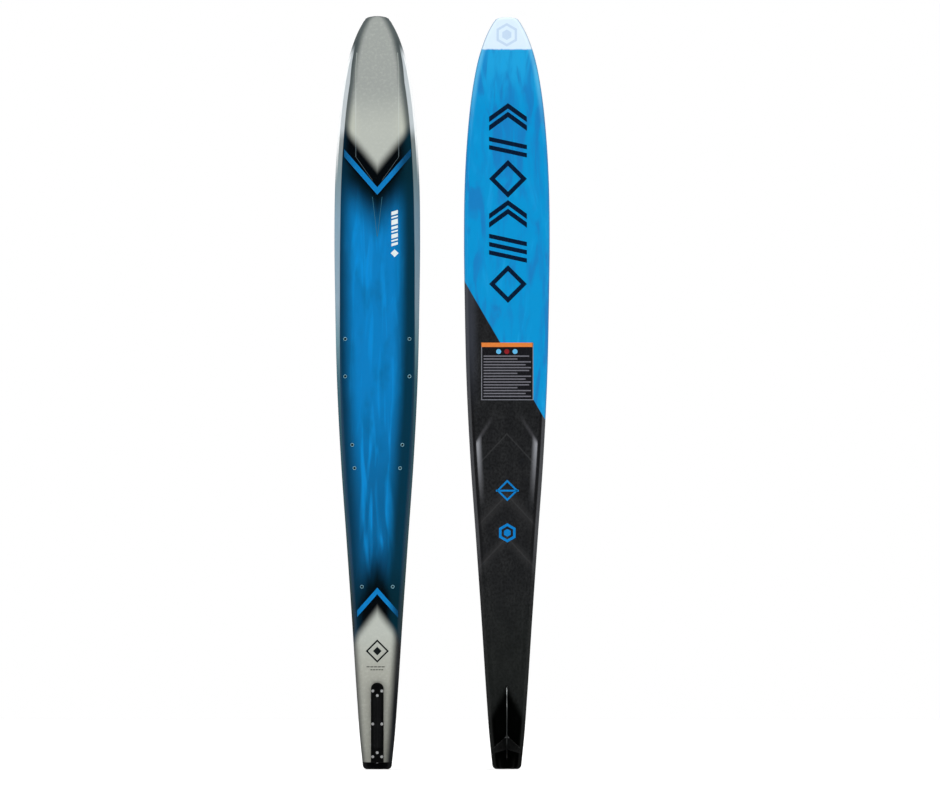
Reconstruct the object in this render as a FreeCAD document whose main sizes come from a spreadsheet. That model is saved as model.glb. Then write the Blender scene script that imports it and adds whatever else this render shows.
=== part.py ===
import FreeCAD, Part
import math
import os
import re

import Sketcher
from FreeCAD import Placement, Rotation, Vector

# A pair of slalom water skis, standing on their tails with +Z along the skis.
# Each ski is drawn lying flat in its own frame: X across it, Y along it from the
# tail, Z up out of the deck, with Z = 0 on the lowest line of the base.

DIMENSIONS = {
    # hull
    "ski_length": 1650,
    "half_width": 94,
    "deck_level": 25,
    "tail_rise": 13,
    "tail_rocker": 450,
    "tip_rise": 85,
    "tip_rocker": 650,
    "tip_thickness": 8,
    "tail_corner": 6,
    "taper_start": 980,
    "skin_wall": 1.2,
    "bevel_width": 10,
    "base_bevel": 8,
    "chine_level": 5,
    "rail_height": 2.5,
    "tunnel_depth": 4,
    "tunnel_shoulder": 9,
    "tunnel_fade_start": 700,
    "tunnel_fade_length": 700,
    "tunnel_full_half": 50,
    "end_block": 4,
    "ski_spacing": 284,
    "seam_run_out": 20,
    "seam_climb": 12,
    "cut_overlap": 1,
    "slot_under_cut": 5,
    # threaded inserts for the bindings
    "front_row": 943,
    "front_pitch": 82,
    "front_gauge": 141,
    "heel_front_row": 711,
    "heel_front_gauge": 110,
    "heel_rear_row": 660,
    "heel_rear_gauge": 100,
    "rear_row": 400,
    "rear_gauge": 67.5,
    "insert_radius": 4,
    "insert_depth": 11,
    "insert_bore": 2.5,
    "insert_bore_depth": 9.5,
    "plate_depth": 13,
    # fin block
    "block_rear": 15,
    "block_front": 190,
    "block_half": 14,
    "block_height": 15,
    "block_chamfer": 0.6,
    "seat_depth": 0.3,
    "slot_clamp_side": 1.2,
    "slot_wall_side": 0.9,
    "slot_rear": 17.5,
    "slot_front": 181.5,
    "slot_top": 33.2,
    "screw_gauge": 9.9,
    "screw_rear": 27.6,
    "screw_middle": 99.3,
    "screw_front": 171.7,
    "screw_radius": 2,
    "screw_head": 3.1,
    "screw_head_height": 3.2,
    "screw_reach": 9,
    "socket_radius": 1.6,
    "socket_depth": 1.5,
    "head_room": 0.2,
    "shelf_gap": 0.1,
    # clamp
    "clamp_inner": 0.85,
    "clamp_thickness": 4,
    "clamp_rear": 46,
    "clamp_front": 155,
    "clamp_low": 25.5,
    "clamp_high": 33,
    "clamp_room": 0.5,
    "clamp_bolt_level": 30,
    "clamp_bolt_rear": 53.7,
    "clamp_bolt_middle": 88.2,
    "clamp_bolt_front": 150.4,
    "clamp_head": 2.6,
    "clamp_socket": 1.44,
    "clamp_head_out": 15.4,
    "clamp_head_in": 12.6,
    # depth adjusters
    "depth_front": 161.6,
    "depth_rear": 36.6,
    "pin_offset": 10,
    "pin_level": 28.6,
    "pin_radius": 1,
    "pin_gap": 0.1,
    "nut_half": 3.9,
    "nut_low": 27.2,
    "nut_shoulder": 30.9,
    "nut_high": 33,
    "nut_end": 3,
    "nut_nose": 4,
    "nut_fork": 1,
    "pocket_half": 4.3,
    "pocket_room": 0.5,
    "pocket_top": 36,
    "shelf_top": 38,
    "shank_low": 28.5,
    "clip_low": 35.2,
    "clip_high": 35.8,
    "clip_radius": 3.4,
    "depth_socket_depth": 1.2,
    "running_gap": 0.06,
    # fore and aft adjusters
    "travel_level": 28.5,
    "travel_gap": 0.15,
    "travel_socket": 1.12,
    "travel_room": 3,
    "travel_front_end": 188,
    "travel_rear_end": 13,
    # fin
    "fin_half": 0.8,
    "fin_rear": 19,
    "fin_rear_top": 21,
    "fin_front": 178,
    "fin_top": 30.5,
    "fin_step": 8,
    "fin_rake": 128,
    "fin_heel": 27,
    "fin_bottom": -50,
    "fin_nose_radius": 62,
    "fin_heel_radius": 14,
    "notch_half": 4.8,
    "notch_floor": 25.5,
    "pin_travel": 2.6,
    # wing
    "wing_pivot": 68,
    "wing_level": -28,
    "wing_screw_pitch": 11,
    "wing_screw": 1.5,
    "wing_gap": 0.05,
    "wing_wall": 1.6,
    "wing_span": 30,
    "tab_rear": 52,
    "tab_front": 73,
    "tab_low": -33,
    "tab_high": -23,
    "wing_root_front": 70,
    "wing_root_rear": 44,
    "wing_tip_front": 47,
    "wing_tip_rear": 35,
    "wing_head": 2.7,
    "wing_head_height": 1.8,
    "wing_socket": 1.2,
    "wing_socket_depth": 1,
    "wing_shoulder": 2,
    "wing_thread_out": 0.5,
    "wing_nut": 3.1,
    "wing_nut_height": 2.4,
    "wing_slot_half": 1.8,
    "wing_slot_reach": 1.2,
}

WING_REST_ANGLE = 8
WING_MIDDLE_ANGLE = 6

# Half width along the ski, each station a distance from the tail in mm and a
# fraction of the greatest half width.
OUTLINE = [
    (24, 0.356),
    (64, 0.400),
    (151, 0.469),
    (327, 0.591),
    (502, 0.719),
    (678, 0.850),
    (853, 0.942),
    (1028, 0.984),
    (1160, 1.000),
    (1291, 0.980),
    (1379, 0.928),
    (1467, 0.836),
    (1511, 0.766),
    (1555, 0.670),
    (1588, 0.564),
    (1611, 0.468),
    (1629, 0.370),
    (1641, 0.287),
    (1647, 0.214),
    (1650, 0.138),
]
TAIL_FRACTION = 0.335
CORNER_ANGLES = (0, 35, 65, 90)
STATION_PITCH = 60

# How fast the base lifts towards each end.
TAIL_POWER = 2
TIP_POWER = 2.4

# Largest shares of the hull's thickness and half width that its edges may take,
# which count only where the ski is thin or narrow.
RAIL_LOW_SHARE = 0.42
RAIL_HEIGHT_SHARE = 0.25
BEVEL_SHARE = 0.6
BASE_EDGE_SHARE = 0.5
SHOULDER_SHARE = 0.2

# How much of the tunnel's depth is gone at the tip, how many skin walls thick the
# sides are, and how far the inner hull's rails draw in.
TUNNEL_FADE = 0.85
SIDE_WALLS = 2
RAIL_INSET = 0.3

# Nearness, in mm, at which two places count as one, and the least volume, in mm3,
# that a pocket must take away.
TOUCH = 0.01
SLIVER = 1e-3

FIN_BOLT_ROWS = ("screw_rear", "screw_middle", "screw_front")
CLAMP_ROWS = ("clamp_bolt_rear", "clamp_bolt_middle", "clamp_bolt_front")

# Each depth adjuster's screw and the pin through the fin beyond it, along the ski.
DEPTH_STATIONS = {
    "front": ("depth_front", "(depth_front + pin_offset)"),
    "rear": ("depth_rear", "(depth_rear - pin_offset)"),
}

# Plates laid in the core under the inserts and the fin block: rear and front
# ends, half width and depth, all in mm.
BINDING_PLATES = ((632, 972, 82), (376, 424, 46))
FIN_PLATE = (7.5, 198, 18)

doc = FreeCAD.newDocument("water_ski_pair")
sheet = doc.addObject("Spreadsheet::Sheet", "Dimensions")
for row, (alias, number) in enumerate(DIMENSIONS.items(), start=1):
    sheet.set(f"A{row}", alias)
    sheet.set(f"B{row}", str(number))
    sheet.setAlias(f"B{row}", alias)
doc.recompute()

subparts = []


def size(alias):
    """The value of one cell of the sheet."""
    return float(sheet.get(alias))


def bound(text):
    """An expression on the sheet, from one written with bare aliases."""
    return re.sub(r"[a-z][a-z_]+", r"Dimensions.\g<0>", text)


def value(text):
    """What an expression written with bare aliases comes to."""
    return float(sheet.evalExpression(bound(text)))


# ---- sketch and feature helpers -------------------------------------------


def new_body(label, placement):
    """A body that may hold several separate solids, with its place in the row."""
    body = doc.addObject("PartDesign::Body", label)
    body.Label = label
    body.AllowCompound = True
    body.Placement = placement
    subparts.append(body)
    return body


def sketch_on(body, role, offset):
    """A sketch on one of the body's own planes, raised along the plane's normal."""
    sketch = body.newObject("Sketcher::SketchObject", "Sketch")
    plane = next(f for f in body.Origin.OriginFeatures if f.Role == role)
    sketch.AttachmentSupport = [(plane, "")]
    sketch.MapMode = "FlatFace"
    sketch.setExpression("AttachmentOffset.Base.z", bound(offset))
    return sketch


def fix_point(sketch, geometry, point, across, along):
    """Tie a sketch point to the origin by two sheet expressions."""
    for kind, text in (("DistanceX", across), ("DistanceY", along)):
        constraint = Sketcher.Constraint(kind, -1, 1, geometry, point, value(text))
        index = sketch.addConstraint(constraint)
        sketch.setExpression(f"Constraints[{index}]", bound(text))


def polygon(sketch, corners):
    """A closed polygon whose corners are pairs of sheet expressions."""
    points = [Vector(value(x), value(y), 0) for x, y in corners]
    first = sketch.GeometryCount
    for start, end in zip(points, points[1:] + points[:1]):
        sketch.addGeometry(Part.LineSegment(start, end), False)
    for i, (x, y) in enumerate(corners):
        after = first + (i + 1) % len(corners)
        sketch.addConstraint(Sketcher.Constraint("Coincident", first + i, 2, after, 1))
        fix_point(sketch, first + i, 1, x, y)


def rectangle(sketch, left, right, low, high):
    polygon(sketch, [(left, low), (right, low), (right, high), (left, high)])


def circles(sketch, centres, radius):
    """Equal circles on centres that are pairs of sheet expressions."""
    for x, y in centres:
        centre = Vector(value(x), value(y), 0)
        circle = Part.Circle(centre, Vector(0, 0, 1), value(radius))
        index = sketch.addGeometry(circle, False)
        fix_point(sketch, index, 3, x, y)
        rule = sketch.addConstraint(Sketcher.Constraint("Radius", index, value(radius)))
        sketch.setExpression(f"Constraints[{rule}]", bound(radius))


def hexagons(sketch, centres, radius):
    """Equal hexagons, flat to flat along the sketch's second axis."""
    for x, y in centres:
        corners = []
        for k in range(6):
            cosine = math.cos(math.radians(60 * k))
            sine = math.sin(math.radians(60 * k))
            corners.append((f"{x} + ({radius}) * {cosine:.6f}", f"{y} + ({radius}) * {sine:.6f}"))
        polygon(sketch, corners)


def pad(body, role, draw, low, high):
    """Add what draw() puts in a sketch, between two levels along the plane's axis.
    The XZ plane's normal points down the ski, so its levels count the other way."""
    start = f"-({high})" if role == "XZ_Plane" else low
    sketch = sketch_on(body, role, start)
    draw(sketch)
    feature = body.newObject("PartDesign::Pad", "Pad")
    feature.Profile = sketch
    feature.setExpression("Length", bound(f"({high}) - ({low})"))
    doc.recompute()


def pocket(body, role, draw, low, high):
    """Cut what draw() puts in a sketch, between two levels along the plane's axis."""
    before = body.Shape.Volume
    start = f"-({low})" if role == "XZ_Plane" else high
    sketch = sketch_on(body, role, start)
    draw(sketch)
    feature = body.newObject("PartDesign::Pocket", "Pocket")
    feature.Profile = sketch
    feature.setExpression("Length", bound(f"({high}) - ({low})"))
    doc.recompute()
    if body.Shape.Volume > before - SLIVER:
        raise RuntimeError(f"a pocket in {body.Label} cuts nothing")


def dress(body, kind, rule, alias, wanted):
    """Round or bevel the edges whose middles, in the body's own frame, are wanted."""
    base = body.Tip
    back = body.Placement.inverse()
    names = []
    for i, edge in enumerate(body.Shape.Edges, start=1):
        middle = edge.valueAt((edge.FirstParameter + edge.LastParameter) / 2)
        if wanted(back.multVec(middle)):
            names.append(f"Edge{i}")
    feature = body.newObject(kind, "Dress")
    feature.Base = (base, names)
    feature.setExpression(rule, bound(alias))
    doc.recompute()


def nearest(spot):
    return lambda middle: middle.distanceToPoint(spot) < TOUCH


def discs(centres, radius):
    return lambda sketch: circles(sketch, centres, radius)


def hexes(centres, radius):
    return lambda sketch: hexagons(sketch, centres, radius)


def block(left, right, low, high):
    return lambda sketch: rectangle(sketch, left, right, low, high)


def outline(corners):
    return lambda sketch: polygon(sketch, corners)


# ---- laminated hull --------------------------------------------------------


def ease(x):
    """A smooth step from 0 to 1."""
    x = min(max(x, 0.0), 1.0)
    return x * x * (3 - 2 * x)


def base_level(along):
    """Height of the base's low line: tail and tip rocker with a flat between."""
    tail = max(0.0, 1 - along / size("tail_rocker"))
    tip = max(0.0, 1 - (size("ski_length") - along) / size("tip_rocker"))
    return size("tail_rise") * tail**TAIL_POWER + size("tip_rise") * tip**TIP_POWER


def thickness(along):
    """The deck stays level behind the front binding and thins out to the tip."""
    level_end = size("taper_start")
    if along <= level_end:
        return size("deck_level") - base_level(along)
    share = ease((along - level_end) / (size("ski_length") - level_end))
    return size("deck_level") + (size("tip_thickness") - size("deck_level")) * share


def stations():
    """Pairs of distance from the tail and half width: round tail corners, then a
    smooth side curve through the outline points."""
    corner = size("tail_corner")
    tail_half = TAIL_FRACTION * size("half_width")
    pairs = []
    for angle in CORNER_ANGLES:
        turn = math.radians(angle)
        along = corner * (1 - math.cos(turn))
        pairs.append((along, tail_half - corner * (1 - math.sin(turn))))
    points = [Vector(along, share * size("half_width"), 0) for along, share in OUTLINE]
    side = Part.BSplineCurve()
    side.interpolate(points)
    for start, end in zip(points, points[1:]):
        steps = max(1, round((end.x - start.x) / STATION_PITCH))
        for k in range(steps):
            spot = side.value(side.parameter(start + (end - start) * (k / steps)))
            pairs.append((spot.x, spot.y))
    pairs.append((points[-1].x, points[-1].y))
    return pairs


def rail(along):
    """Heights of the lower and upper edge of the rail above the base."""
    low = min(size("chine_level"), RAIL_LOW_SHARE * thickness(along))
    return low, low + min(size("rail_height"), RAIL_HEIGHT_SHARE * thickness(along))


def section(along, half, inset):
    """One cross-section: level deck, bevelled sides, upright rails, bevelled base
    edges, flat shoulders and a concave tunnel, set in by the wall thickness."""
    wide = half - SIDE_WALLS * inset
    bevel = min(size("bevel_width"), BEVEL_SHARE * half)
    edge = min(size("base_bevel"), BASE_EDGE_SHARE * half)
    shoulder = min(size("tunnel_shoulder"), SHOULDER_SHARE * half)
    base = base_level(along)
    deck = base + thickness(along) - inset
    rail_low, rail_high = (base + level for level in rail(along))
    rail_low += RAIL_INSET * inset
    rail_high -= RAIL_INSET * inset
    low = base + inset
    faded = ease((along - size("tunnel_fade_start")) / size("tunnel_fade_length"))
    depth = size("tunnel_depth") * (1 - TUNNEL_FADE * faded)
    crown = low + depth * min(1.0, half / size("tunnel_full_half"))
    inner = wide - edge - shoulder
    half_outline = [
        (wide - bevel, deck),
        (wide, rail_high),
        (wide, rail_low),
        (wide - edge, low),
        (inner, low),
    ]
    right = [Vector(x, along, z) for x, z in half_outline]
    left = [Vector(-x, along, z) for x, z in reversed(half_outline)]
    edges = [Part.makeLine(a, b) for a, b in zip(right, right[1:])]
    edges.append(Part.Arc(right[-1], Vector(0, along, crown), left[0]).toShape())
    edges += [Part.makeLine(a, b) for a, b in zip(left, left[1:])]
    edges.append(Part.makeLine(left[-1], right[0]))
    return Part.Wire(edges)


def hull(inset, margin):
    """The solid through the stations that lie at least margin from both ends."""
    length = size("ski_length")
    kept = [(a, w) for a, w in stations() if margin <= a <= length - margin]
    return Part.makeLoft([section(a, w, inset) for a, w in kept], True, False)


def above_seam():
    """Everything above the glue line that runs round the middle of the rails."""
    reach = 2 * size("half_width")
    line = [Vector(-reach, a, base_level(a) + sum(rail(a)) / 2) for a, _ in stations()]
    run_out = size("seam_run_out")
    line.insert(0, line[0] - Vector(0, run_out, 0))
    line.append(line[-1] + Vector(0, run_out, size("seam_climb")))
    curve = Part.BSplineCurve()
    curve.interpolate(line)
    top = 4 * size("tip_rise")
    high = [Vector(p.x, p.y, top) for p in (line[-1], line[0])]
    rim = Part.makePolygon([line[-1], *high, line[0]])
    face = Part.Face(Part.Wire([curve.toShape(), *rim.Edges]))
    return face.extrude(Vector(2 * reach, 0, 0))


def bar(rear, front, half, low, high):
    return Part.makeBox(2 * half, front - rear, high - low, Vector(-half, rear, low))


def insert_places():
    """Centres of the binding inserts as pairs of sheet expressions, by group."""
    front = [
        (f"{side} * front_gauge / 2", row)
        for side in (-1, 1)
        for row in ("front_row", "front_row - front_pitch")
    ]
    heel = [
        (f"{side} * {name}_gauge / 2", f"{name}_row")
        for side in (-1, 1)
        for name in ("heel_front", "heel_rear")
    ]
    rear = [(f"{side} * rear_gauge / 2", "rear_row") for side in (-1, 1)]
    return {"front_inserts": front, "heel_inserts": heel, "rear_inserts": rear}


def mounting_places():
    return [(f"{side} * screw_gauge", row) for side in (-1, 1) for row in FIN_BOLT_ROWS]


def rods(places, radius, low, high):
    """Upright cylinders used to bore the laminate."""
    return [
        Part.makeCylinder(radius, high - low, Vector(value(x), value(y), low))
        for x, y in places
    ]


def laminate():
    """The five glued pieces of one ski, cut from one outer and one inner hull."""
    deck = size("deck_level")
    above = deck + size("cut_overlap")
    below = -size("slot_under_cut")
    outer = hull(0, 0)
    inner = hull(size("skin_wall"), size("end_block"))
    shell = outer.cut(inner)
    upper = above_seam()
    under_skin = deck - size("skin_wall")
    plates = [
        bar(rear, front, half, deck - size("plate_depth"), deck)
        for rear, front, half in BINDING_PLATES
    ]
    fin_bar = bar(*FIN_PLATE, below, deck)
    binding = Part.makeCompound([inner.common(plate) for plate in plates])
    fin_plate = inner.common(fin_bar)
    core = inner.cut(Part.makeCompound([*plates, fin_bar]))

    inserts = [place for places in insert_places().values() for place in places]
    insert_bores = rods(inserts, size("insert_radius"), deck - size("insert_depth"), above)
    screw_low = under_skin - size("screw_reach")
    screw_bores = rods(mounting_places(), size("screw_radius"), screw_low, above)
    slot = Part.makeBox(
        size("slot_clamp_side") + size("slot_wall_side"),
        size("slot_front") - size("slot_rear"),
        above - below,
        Vector(-size("slot_clamp_side"), size("slot_rear"), below),
    )
    seat_low = deck - size("seat_depth")
    nose = size("block_front") - size("block_half")
    seat = bar(size("block_rear"), nose, size("block_half"), seat_low, above)
    round_nose = Part.makeCylinder(
        size("block_half"), above - seat_low, Vector(0, nose, seat_low)
    )
    seat = seat.fuse(round_nose)
    cutters = [*insert_bores, *screw_bores, slot]
    return {
        "deck_skin": shell.common(upper).cut([*cutters, seat]),
        "base_skin": shell.cut(upper).cut([slot]),
        "core": core,
        "binding_reinforcement": binding.cut(insert_bores),
        "fin_reinforcement": fin_plate.cut([*screw_bores, slot]),
    }


# ---- hardware of one ski ---------------------------------------------------


def inserts(name, places, placement):
    body = new_body(name, placement)
    pad(body, "XY_Plane", discs(places, "insert_radius"), "deck_level - insert_depth", "deck_level")
    bore = discs(places, "insert_bore")
    pocket(body, "XY_Plane", bore, "deck_level - insert_bore_depth", "deck_level")


def block_outline(sketch):
    """A bar with a half-round nose."""
    half = value("block_half")
    nose = value("block_front - block_half")
    rear = value("block_rear")
    corners = [Vector(-half, nose, 0), Vector(-half, rear, 0), Vector(half, rear, 0)]
    corners.append(Vector(half, nose, 0))
    for start, end in zip(corners, corners[1:]):
        sketch.addGeometry(Part.LineSegment(start, end), False)
    arc = Part.Arc(corners[-1], Vector(0, nose + half, 0), corners[0])
    sketch.addGeometry(arc, False)
    names = [("-block_half", "block_front - block_half"), ("-block_half", "block_rear")]
    names += [("block_half", "block_rear"), ("block_half", "block_front - block_half")]
    for index, (x, y) in enumerate(names):
        fix_point(sketch, min(index, 2), 1 if index < 3 else 2, x, y)
    for line in (0, 1):
        sketch.addConstraint(Sketcher.Constraint("Coincident", line, 2, line + 1, 1))
    sketch.addConstraint(Sketcher.Constraint("Coincident", 2, 2, 3, 1))
    sketch.addConstraint(Sketcher.Constraint("Coincident", 3, 2, 0, 1))
    centre = sketch.addConstraint(Sketcher.Constraint("DistanceY", -1, 1, 3, 3, nose))
    sketch.setExpression(f"Constraints[{centre}]", bound("block_front - block_half"))


def nut_pocket(screw, pin):
    """The well that one depth nut slides in, from its round nose to its pin end."""
    ahead = f"{pin} + nut_end + pocket_room"
    behind = f"{screw} - nut_nose - pocket_room"
    if value(pin) < value(screw):
        ahead = f"{screw} + nut_nose + pocket_room"
        behind = f"{pin} - nut_end - pocket_room"
    return block("-pocket_half", "pocket_half", behind, ahead)


def fin_block(name, placement):
    body = new_body(name, placement)
    seat = "deck_level - seat_depth"
    top = "deck_level + block_height"
    pad(body, "XY_Plane", block_outline, seat, top)
    slot = block("-slot_clamp_side", "slot_wall_side", "slot_rear", "slot_front")
    pocket(body, "XY_Plane", slot, seat, "slot_top")
    for screw, pin in DEPTH_STATIONS.values():
        pocket(body, "XY_Plane", nut_pocket(screw, pin), seat, "pocket_top")
    rear = "clamp_rear - clamp_room"
    front = "clamp_front + clamp_room"
    channel = block("-(clamp_inner + clamp_thickness)", "-clamp_inner", rear, front)
    pocket(body, "XY_Plane", channel, seat, "clamp_high + clamp_room")
    depth_screws = [("0", screw) for screw, _ in DEPTH_STATIONS.values()]
    bore = discs(depth_screws, "screw_radius + running_gap")
    pocket(body, "XY_Plane", bore, "pocket_top - cut_overlap", top)
    sink = discs(depth_screws, "screw_head + head_room")
    pocket(body, "XY_Plane", sink, "shelf_top", top)
    bore = discs(mounting_places(), "screw_radius + running_gap")
    pocket(body, "XY_Plane", bore, seat, top)
    sink = discs(mounting_places(), "screw_head + head_room")
    pocket(body, "XY_Plane", sink, f"{top} - screw_head_height", top)
    clamp_bolts = [(row, "clamp_bolt_level") for row in CLAMP_ROWS]
    inside = "-(clamp_inner + clamp_thickness)"
    pocket(body, "YZ_Plane", discs(clamp_bolts, "screw_radius"), "-block_half", inside)
    sink = discs(clamp_bolts, "clamp_head + head_room")
    pocket(body, "YZ_Plane", sink, "-block_half", "-clamp_head_in")
    bore = discs([("0", "travel_level")], "screw_radius + running_gap")
    pocket(body, "XZ_Plane", bore, "fin_front - travel_room", "block_front")
    pocket(body, "XZ_Plane", bore, "block_rear", "fin_rear_top + travel_room")
    dress(body, "PartDesign::Chamfer", "Size", "block_chamfer", on_block_rim)


def on_block_rim(middle):
    """Whether an edge's middle lies on the outer rim of the block's top face."""
    half = value("block_half")
    nose = value("block_front - block_half")
    if abs(middle.z - value("deck_level + block_height")) > TOUCH:
        return False
    on_side = abs(abs(middle.x) - half) < TOUCH
    on_rear = abs(middle.y - value("block_rear")) < TOUCH
    on_nose = middle.y > nose and abs(math.hypot(middle.x, middle.y - nose) - half) < TOUCH
    return on_side or on_rear or on_nose


def clamp_bar(name, placement):
    body = new_body(name, placement)
    plan = block("-(clamp_inner + clamp_thickness)", "-clamp_inner", "clamp_rear", "clamp_front")
    pad(body, "XY_Plane", plan, "clamp_low", "clamp_high")


def clamp_bolts(name, placement):
    body = new_body(name, placement)
    places = [(row, "clamp_bolt_level") for row in CLAMP_ROWS]
    inside = "-(clamp_inner + clamp_thickness)"
    pad(body, "YZ_Plane", discs(places, "screw_radius"), "-clamp_head_in", inside)
    pad(body, "YZ_Plane", discs(places, "clamp_head"), "-clamp_head_out", "-clamp_head_in")
    socket = hexes(places, "clamp_socket")
    pocket(body, "YZ_Plane", socket, "-clamp_head_out", "-clamp_head_out + socket_depth")


def mounting_screws(name, placement):
    body = new_body(name, placement)
    places = mounting_places()
    top = "deck_level + block_height"
    shoulder = f"{top} - screw_head_height"
    low = "deck_level - skin_wall - screw_reach"
    pad(body, "XY_Plane", discs(places, "screw_radius"), low, shoulder)
    pad(body, "XY_Plane", discs(places, "screw_head"), shoulder, f"{top} - head_room")
    socket = hexes(places, "socket_radius")
    pocket(body, "XY_Plane", socket, f"{top} - head_room - socket_depth", f"{top} - head_room")


def depth_screw(name, station, placement):
    body = new_body(name, placement)
    top = "deck_level + block_height - head_room"
    place = [("0", station)]
    shoulder = "shelf_top + shelf_gap"
    pad(body, "XY_Plane", discs(place, "screw_radius"), "shank_low", shoulder)
    pad(body, "XY_Plane", discs(place, "screw_head"), shoulder, top)
    socket = hexes(place, "socket_radius")
    pocket(body, "XY_Plane", socket, f"{top} - depth_socket_depth", top)


def screw_clip(name, station, placement):
    body = new_body(name, placement)
    place = [("0", station)]
    pad(body, "XY_Plane", discs(place, "clip_radius"), "clip_low", "clip_high")
    pocket(body, "XY_Plane", discs(place, "screw_radius"), "clip_low", "clip_high")


def nut_ends(screw, pin):
    """Rear and front end of one depth nut."""
    if value(pin) < value(screw):
        return f"{pin} - nut_end", f"{screw} + nut_nose"
    return f"{screw} - nut_nose", f"{pin} + nut_end"


def depth_nuts(name, placement):
    """Nuts that straddle the fin, each with a bridge that its screw runs in."""
    body = new_body(name, placement)
    for screw, pin in DEPTH_STATIONS.values():
        rear, front = nut_ends(screw, pin)
        bridge = block("-nut_half", "nut_half", rear, front)
        pad(body, "XY_Plane", bridge, "nut_shoulder", "nut_high")
        cheeks = block("-nut_half", "nut_half", f"{pin} - nut_end", f"{pin} + nut_end")
        pad(body, "XY_Plane", cheeks, "nut_low", "nut_shoulder")
        fork = block("-nut_fork", "nut_fork", f"{pin} - nut_end", f"{pin} + nut_end")
        pocket(body, "XY_Plane", fork, "nut_low", "nut_shoulder")
        bore = discs([("0", screw)], "screw_radius + running_gap")
        pocket(body, "XY_Plane", bore, "nut_shoulder", "nut_high")
        pin_bore = discs([(pin, "pin_level")], "pin_radius")
        pocket(body, "YZ_Plane", pin_bore, "-nut_half", "nut_half")


def depth_pins(name, placement):
    body = new_body(name, placement)
    places = [(pin, "pin_level") for _, pin in DEPTH_STATIONS.values()]
    pad(body, "YZ_Plane", discs(places, "pin_radius"), "-nut_half", "nut_half")


def travel_screw(name, low, high, socket_low, socket_high, placement):
    body = new_body(name, placement)
    place = [("0", "travel_level")]
    pad(body, "XZ_Plane", discs(place, "screw_radius"), low, high)
    socket = hexes(place, "travel_socket")
    pocket(body, "XZ_Plane", socket, socket_low, socket_high)


def fin_profile():
    """The fin seen from the side, with notches that clear the depth screws."""
    corners = [
        ("fin_rear", "fin_step"),
        ("fin_heel", "fin_bottom"),
        ("fin_rake", "fin_bottom"),
        ("fin_front", "fin_step"),
        ("fin_front", "fin_top"),
    ]
    for screw in ("depth_front", "depth_rear"):
        corners += [
            (f"{screw} + notch_half", "fin_top"),
            (f"{screw} + notch_half", "notch_floor"),
            (f"{screw} - notch_half", "notch_floor"),
            (f"{screw} - notch_half", "fin_top"),
        ]
    corners += [("fin_rear_top", "fin_top"), ("fin_rear_top", "fin_step")]
    return corners


def slot_shape(centre_along, centre_level, reach, half):
    """A round-ended slot along the ski: its middle, then its two ends."""
    middle = block(
        f"{centre_along} - {reach}",
        f"{centre_along} + {reach}",
        f"{centre_level} - {half}",
        f"{centre_level} + {half}",
    )
    ends = [(f"{centre_along} {sign} {reach}", centre_level) for sign in "-+"]
    return middle, [discs([end], half) for end in ends]


def fin(name, placement):
    body = new_body(name, placement)
    pad(body, "YZ_Plane", outline(fin_profile()), "-fin_half", "fin_half")
    for along, radius in (("fin_rake", "fin_nose_radius"), ("fin_heel", "fin_heel_radius")):
        spot = Vector(0, value(along), value("fin_bottom"))
        dress(body, "PartDesign::Fillet", "Radius", radius, nearest(spot))
    for _, pin in DEPTH_STATIONS.values():
        middle, ends = slot_shape(pin, "pin_level", "pin_travel", "(pin_radius + pin_gap)")
        for shape in (middle, *ends):
            pocket(body, "YZ_Plane", shape, "-fin_half", "fin_half")
    pivot = discs([("wing_pivot", "wing_level")], "wing_screw + running_gap")
    pocket(body, "YZ_Plane", pivot, "-fin_half", "fin_half")
    turn = math.radians(WING_MIDDLE_ANGLE)
    along = f"wing_pivot - wing_screw_pitch * {math.cos(turn):.6f}"
    level = f"wing_level + wing_screw_pitch * {math.sin(turn):.6f}"
    slot = block(
        f"{along} - wing_slot_half",
        f"{along} + wing_slot_half",
        f"{level} - wing_slot_reach",
        f"{level} + wing_slot_reach",
    )
    ends = [discs([(along, f"{level} {sign} wing_slot_reach")], "wing_slot_half") for sign in "-+"]
    for shape in (slot, *ends):
        pocket(body, "YZ_Plane", shape, "-fin_half", "fin_half")


def wing_places():
    return [("wing_pivot", "wing_level"), ("wing_pivot - wing_screw_pitch", "wing_level")]


def wing(name, side, placement):
    """One half of the wing: a tab that lies on the fin and a swept blade."""
    body = new_body(name, placement)
    inner = "(fin_half + wing_gap)"
    outer = "(fin_half + wing_gap + wing_wall)"
    tab = block("tab_rear", "tab_front", "tab_low", "tab_high")
    levels = (inner, outer) if side > 0 else (f"-{outer}", f"-{inner}")
    pad(body, "YZ_Plane", tab, *levels)
    blade = outline([
        (f"{side} * {inner}", "wing_root_rear"),
        (f"{side} * {inner}", "wing_root_front"),
        (f"{side} * ({outer} + wing_shoulder)", "wing_root_front"),
        (f"{side} * wing_span", "wing_tip_front"),
        (f"{side} * wing_span", "wing_tip_rear"),
    ])
    pad(body, "XY_Plane", blade, "tab_low - wing_wall", "tab_low")
    pocket(body, "YZ_Plane", discs(wing_places(), "wing_screw"), *levels)


def wing_screws(name, placement):
    body = new_body(name, placement)
    outer = "(fin_half + wing_gap + wing_wall)"
    head = f"{outer} + wing_head_height"
    end = f"-({outer} + wing_nut_height + wing_thread_out)"
    pad(body, "YZ_Plane", discs(wing_places(), "wing_screw"), end, outer)
    pad(body, "YZ_Plane", discs(wing_places(), "wing_head"), outer, head)
    socket = hexes(wing_places(), "wing_socket")
    pocket(body, "YZ_Plane", socket, f"{head} - wing_socket_depth", head)


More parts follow.
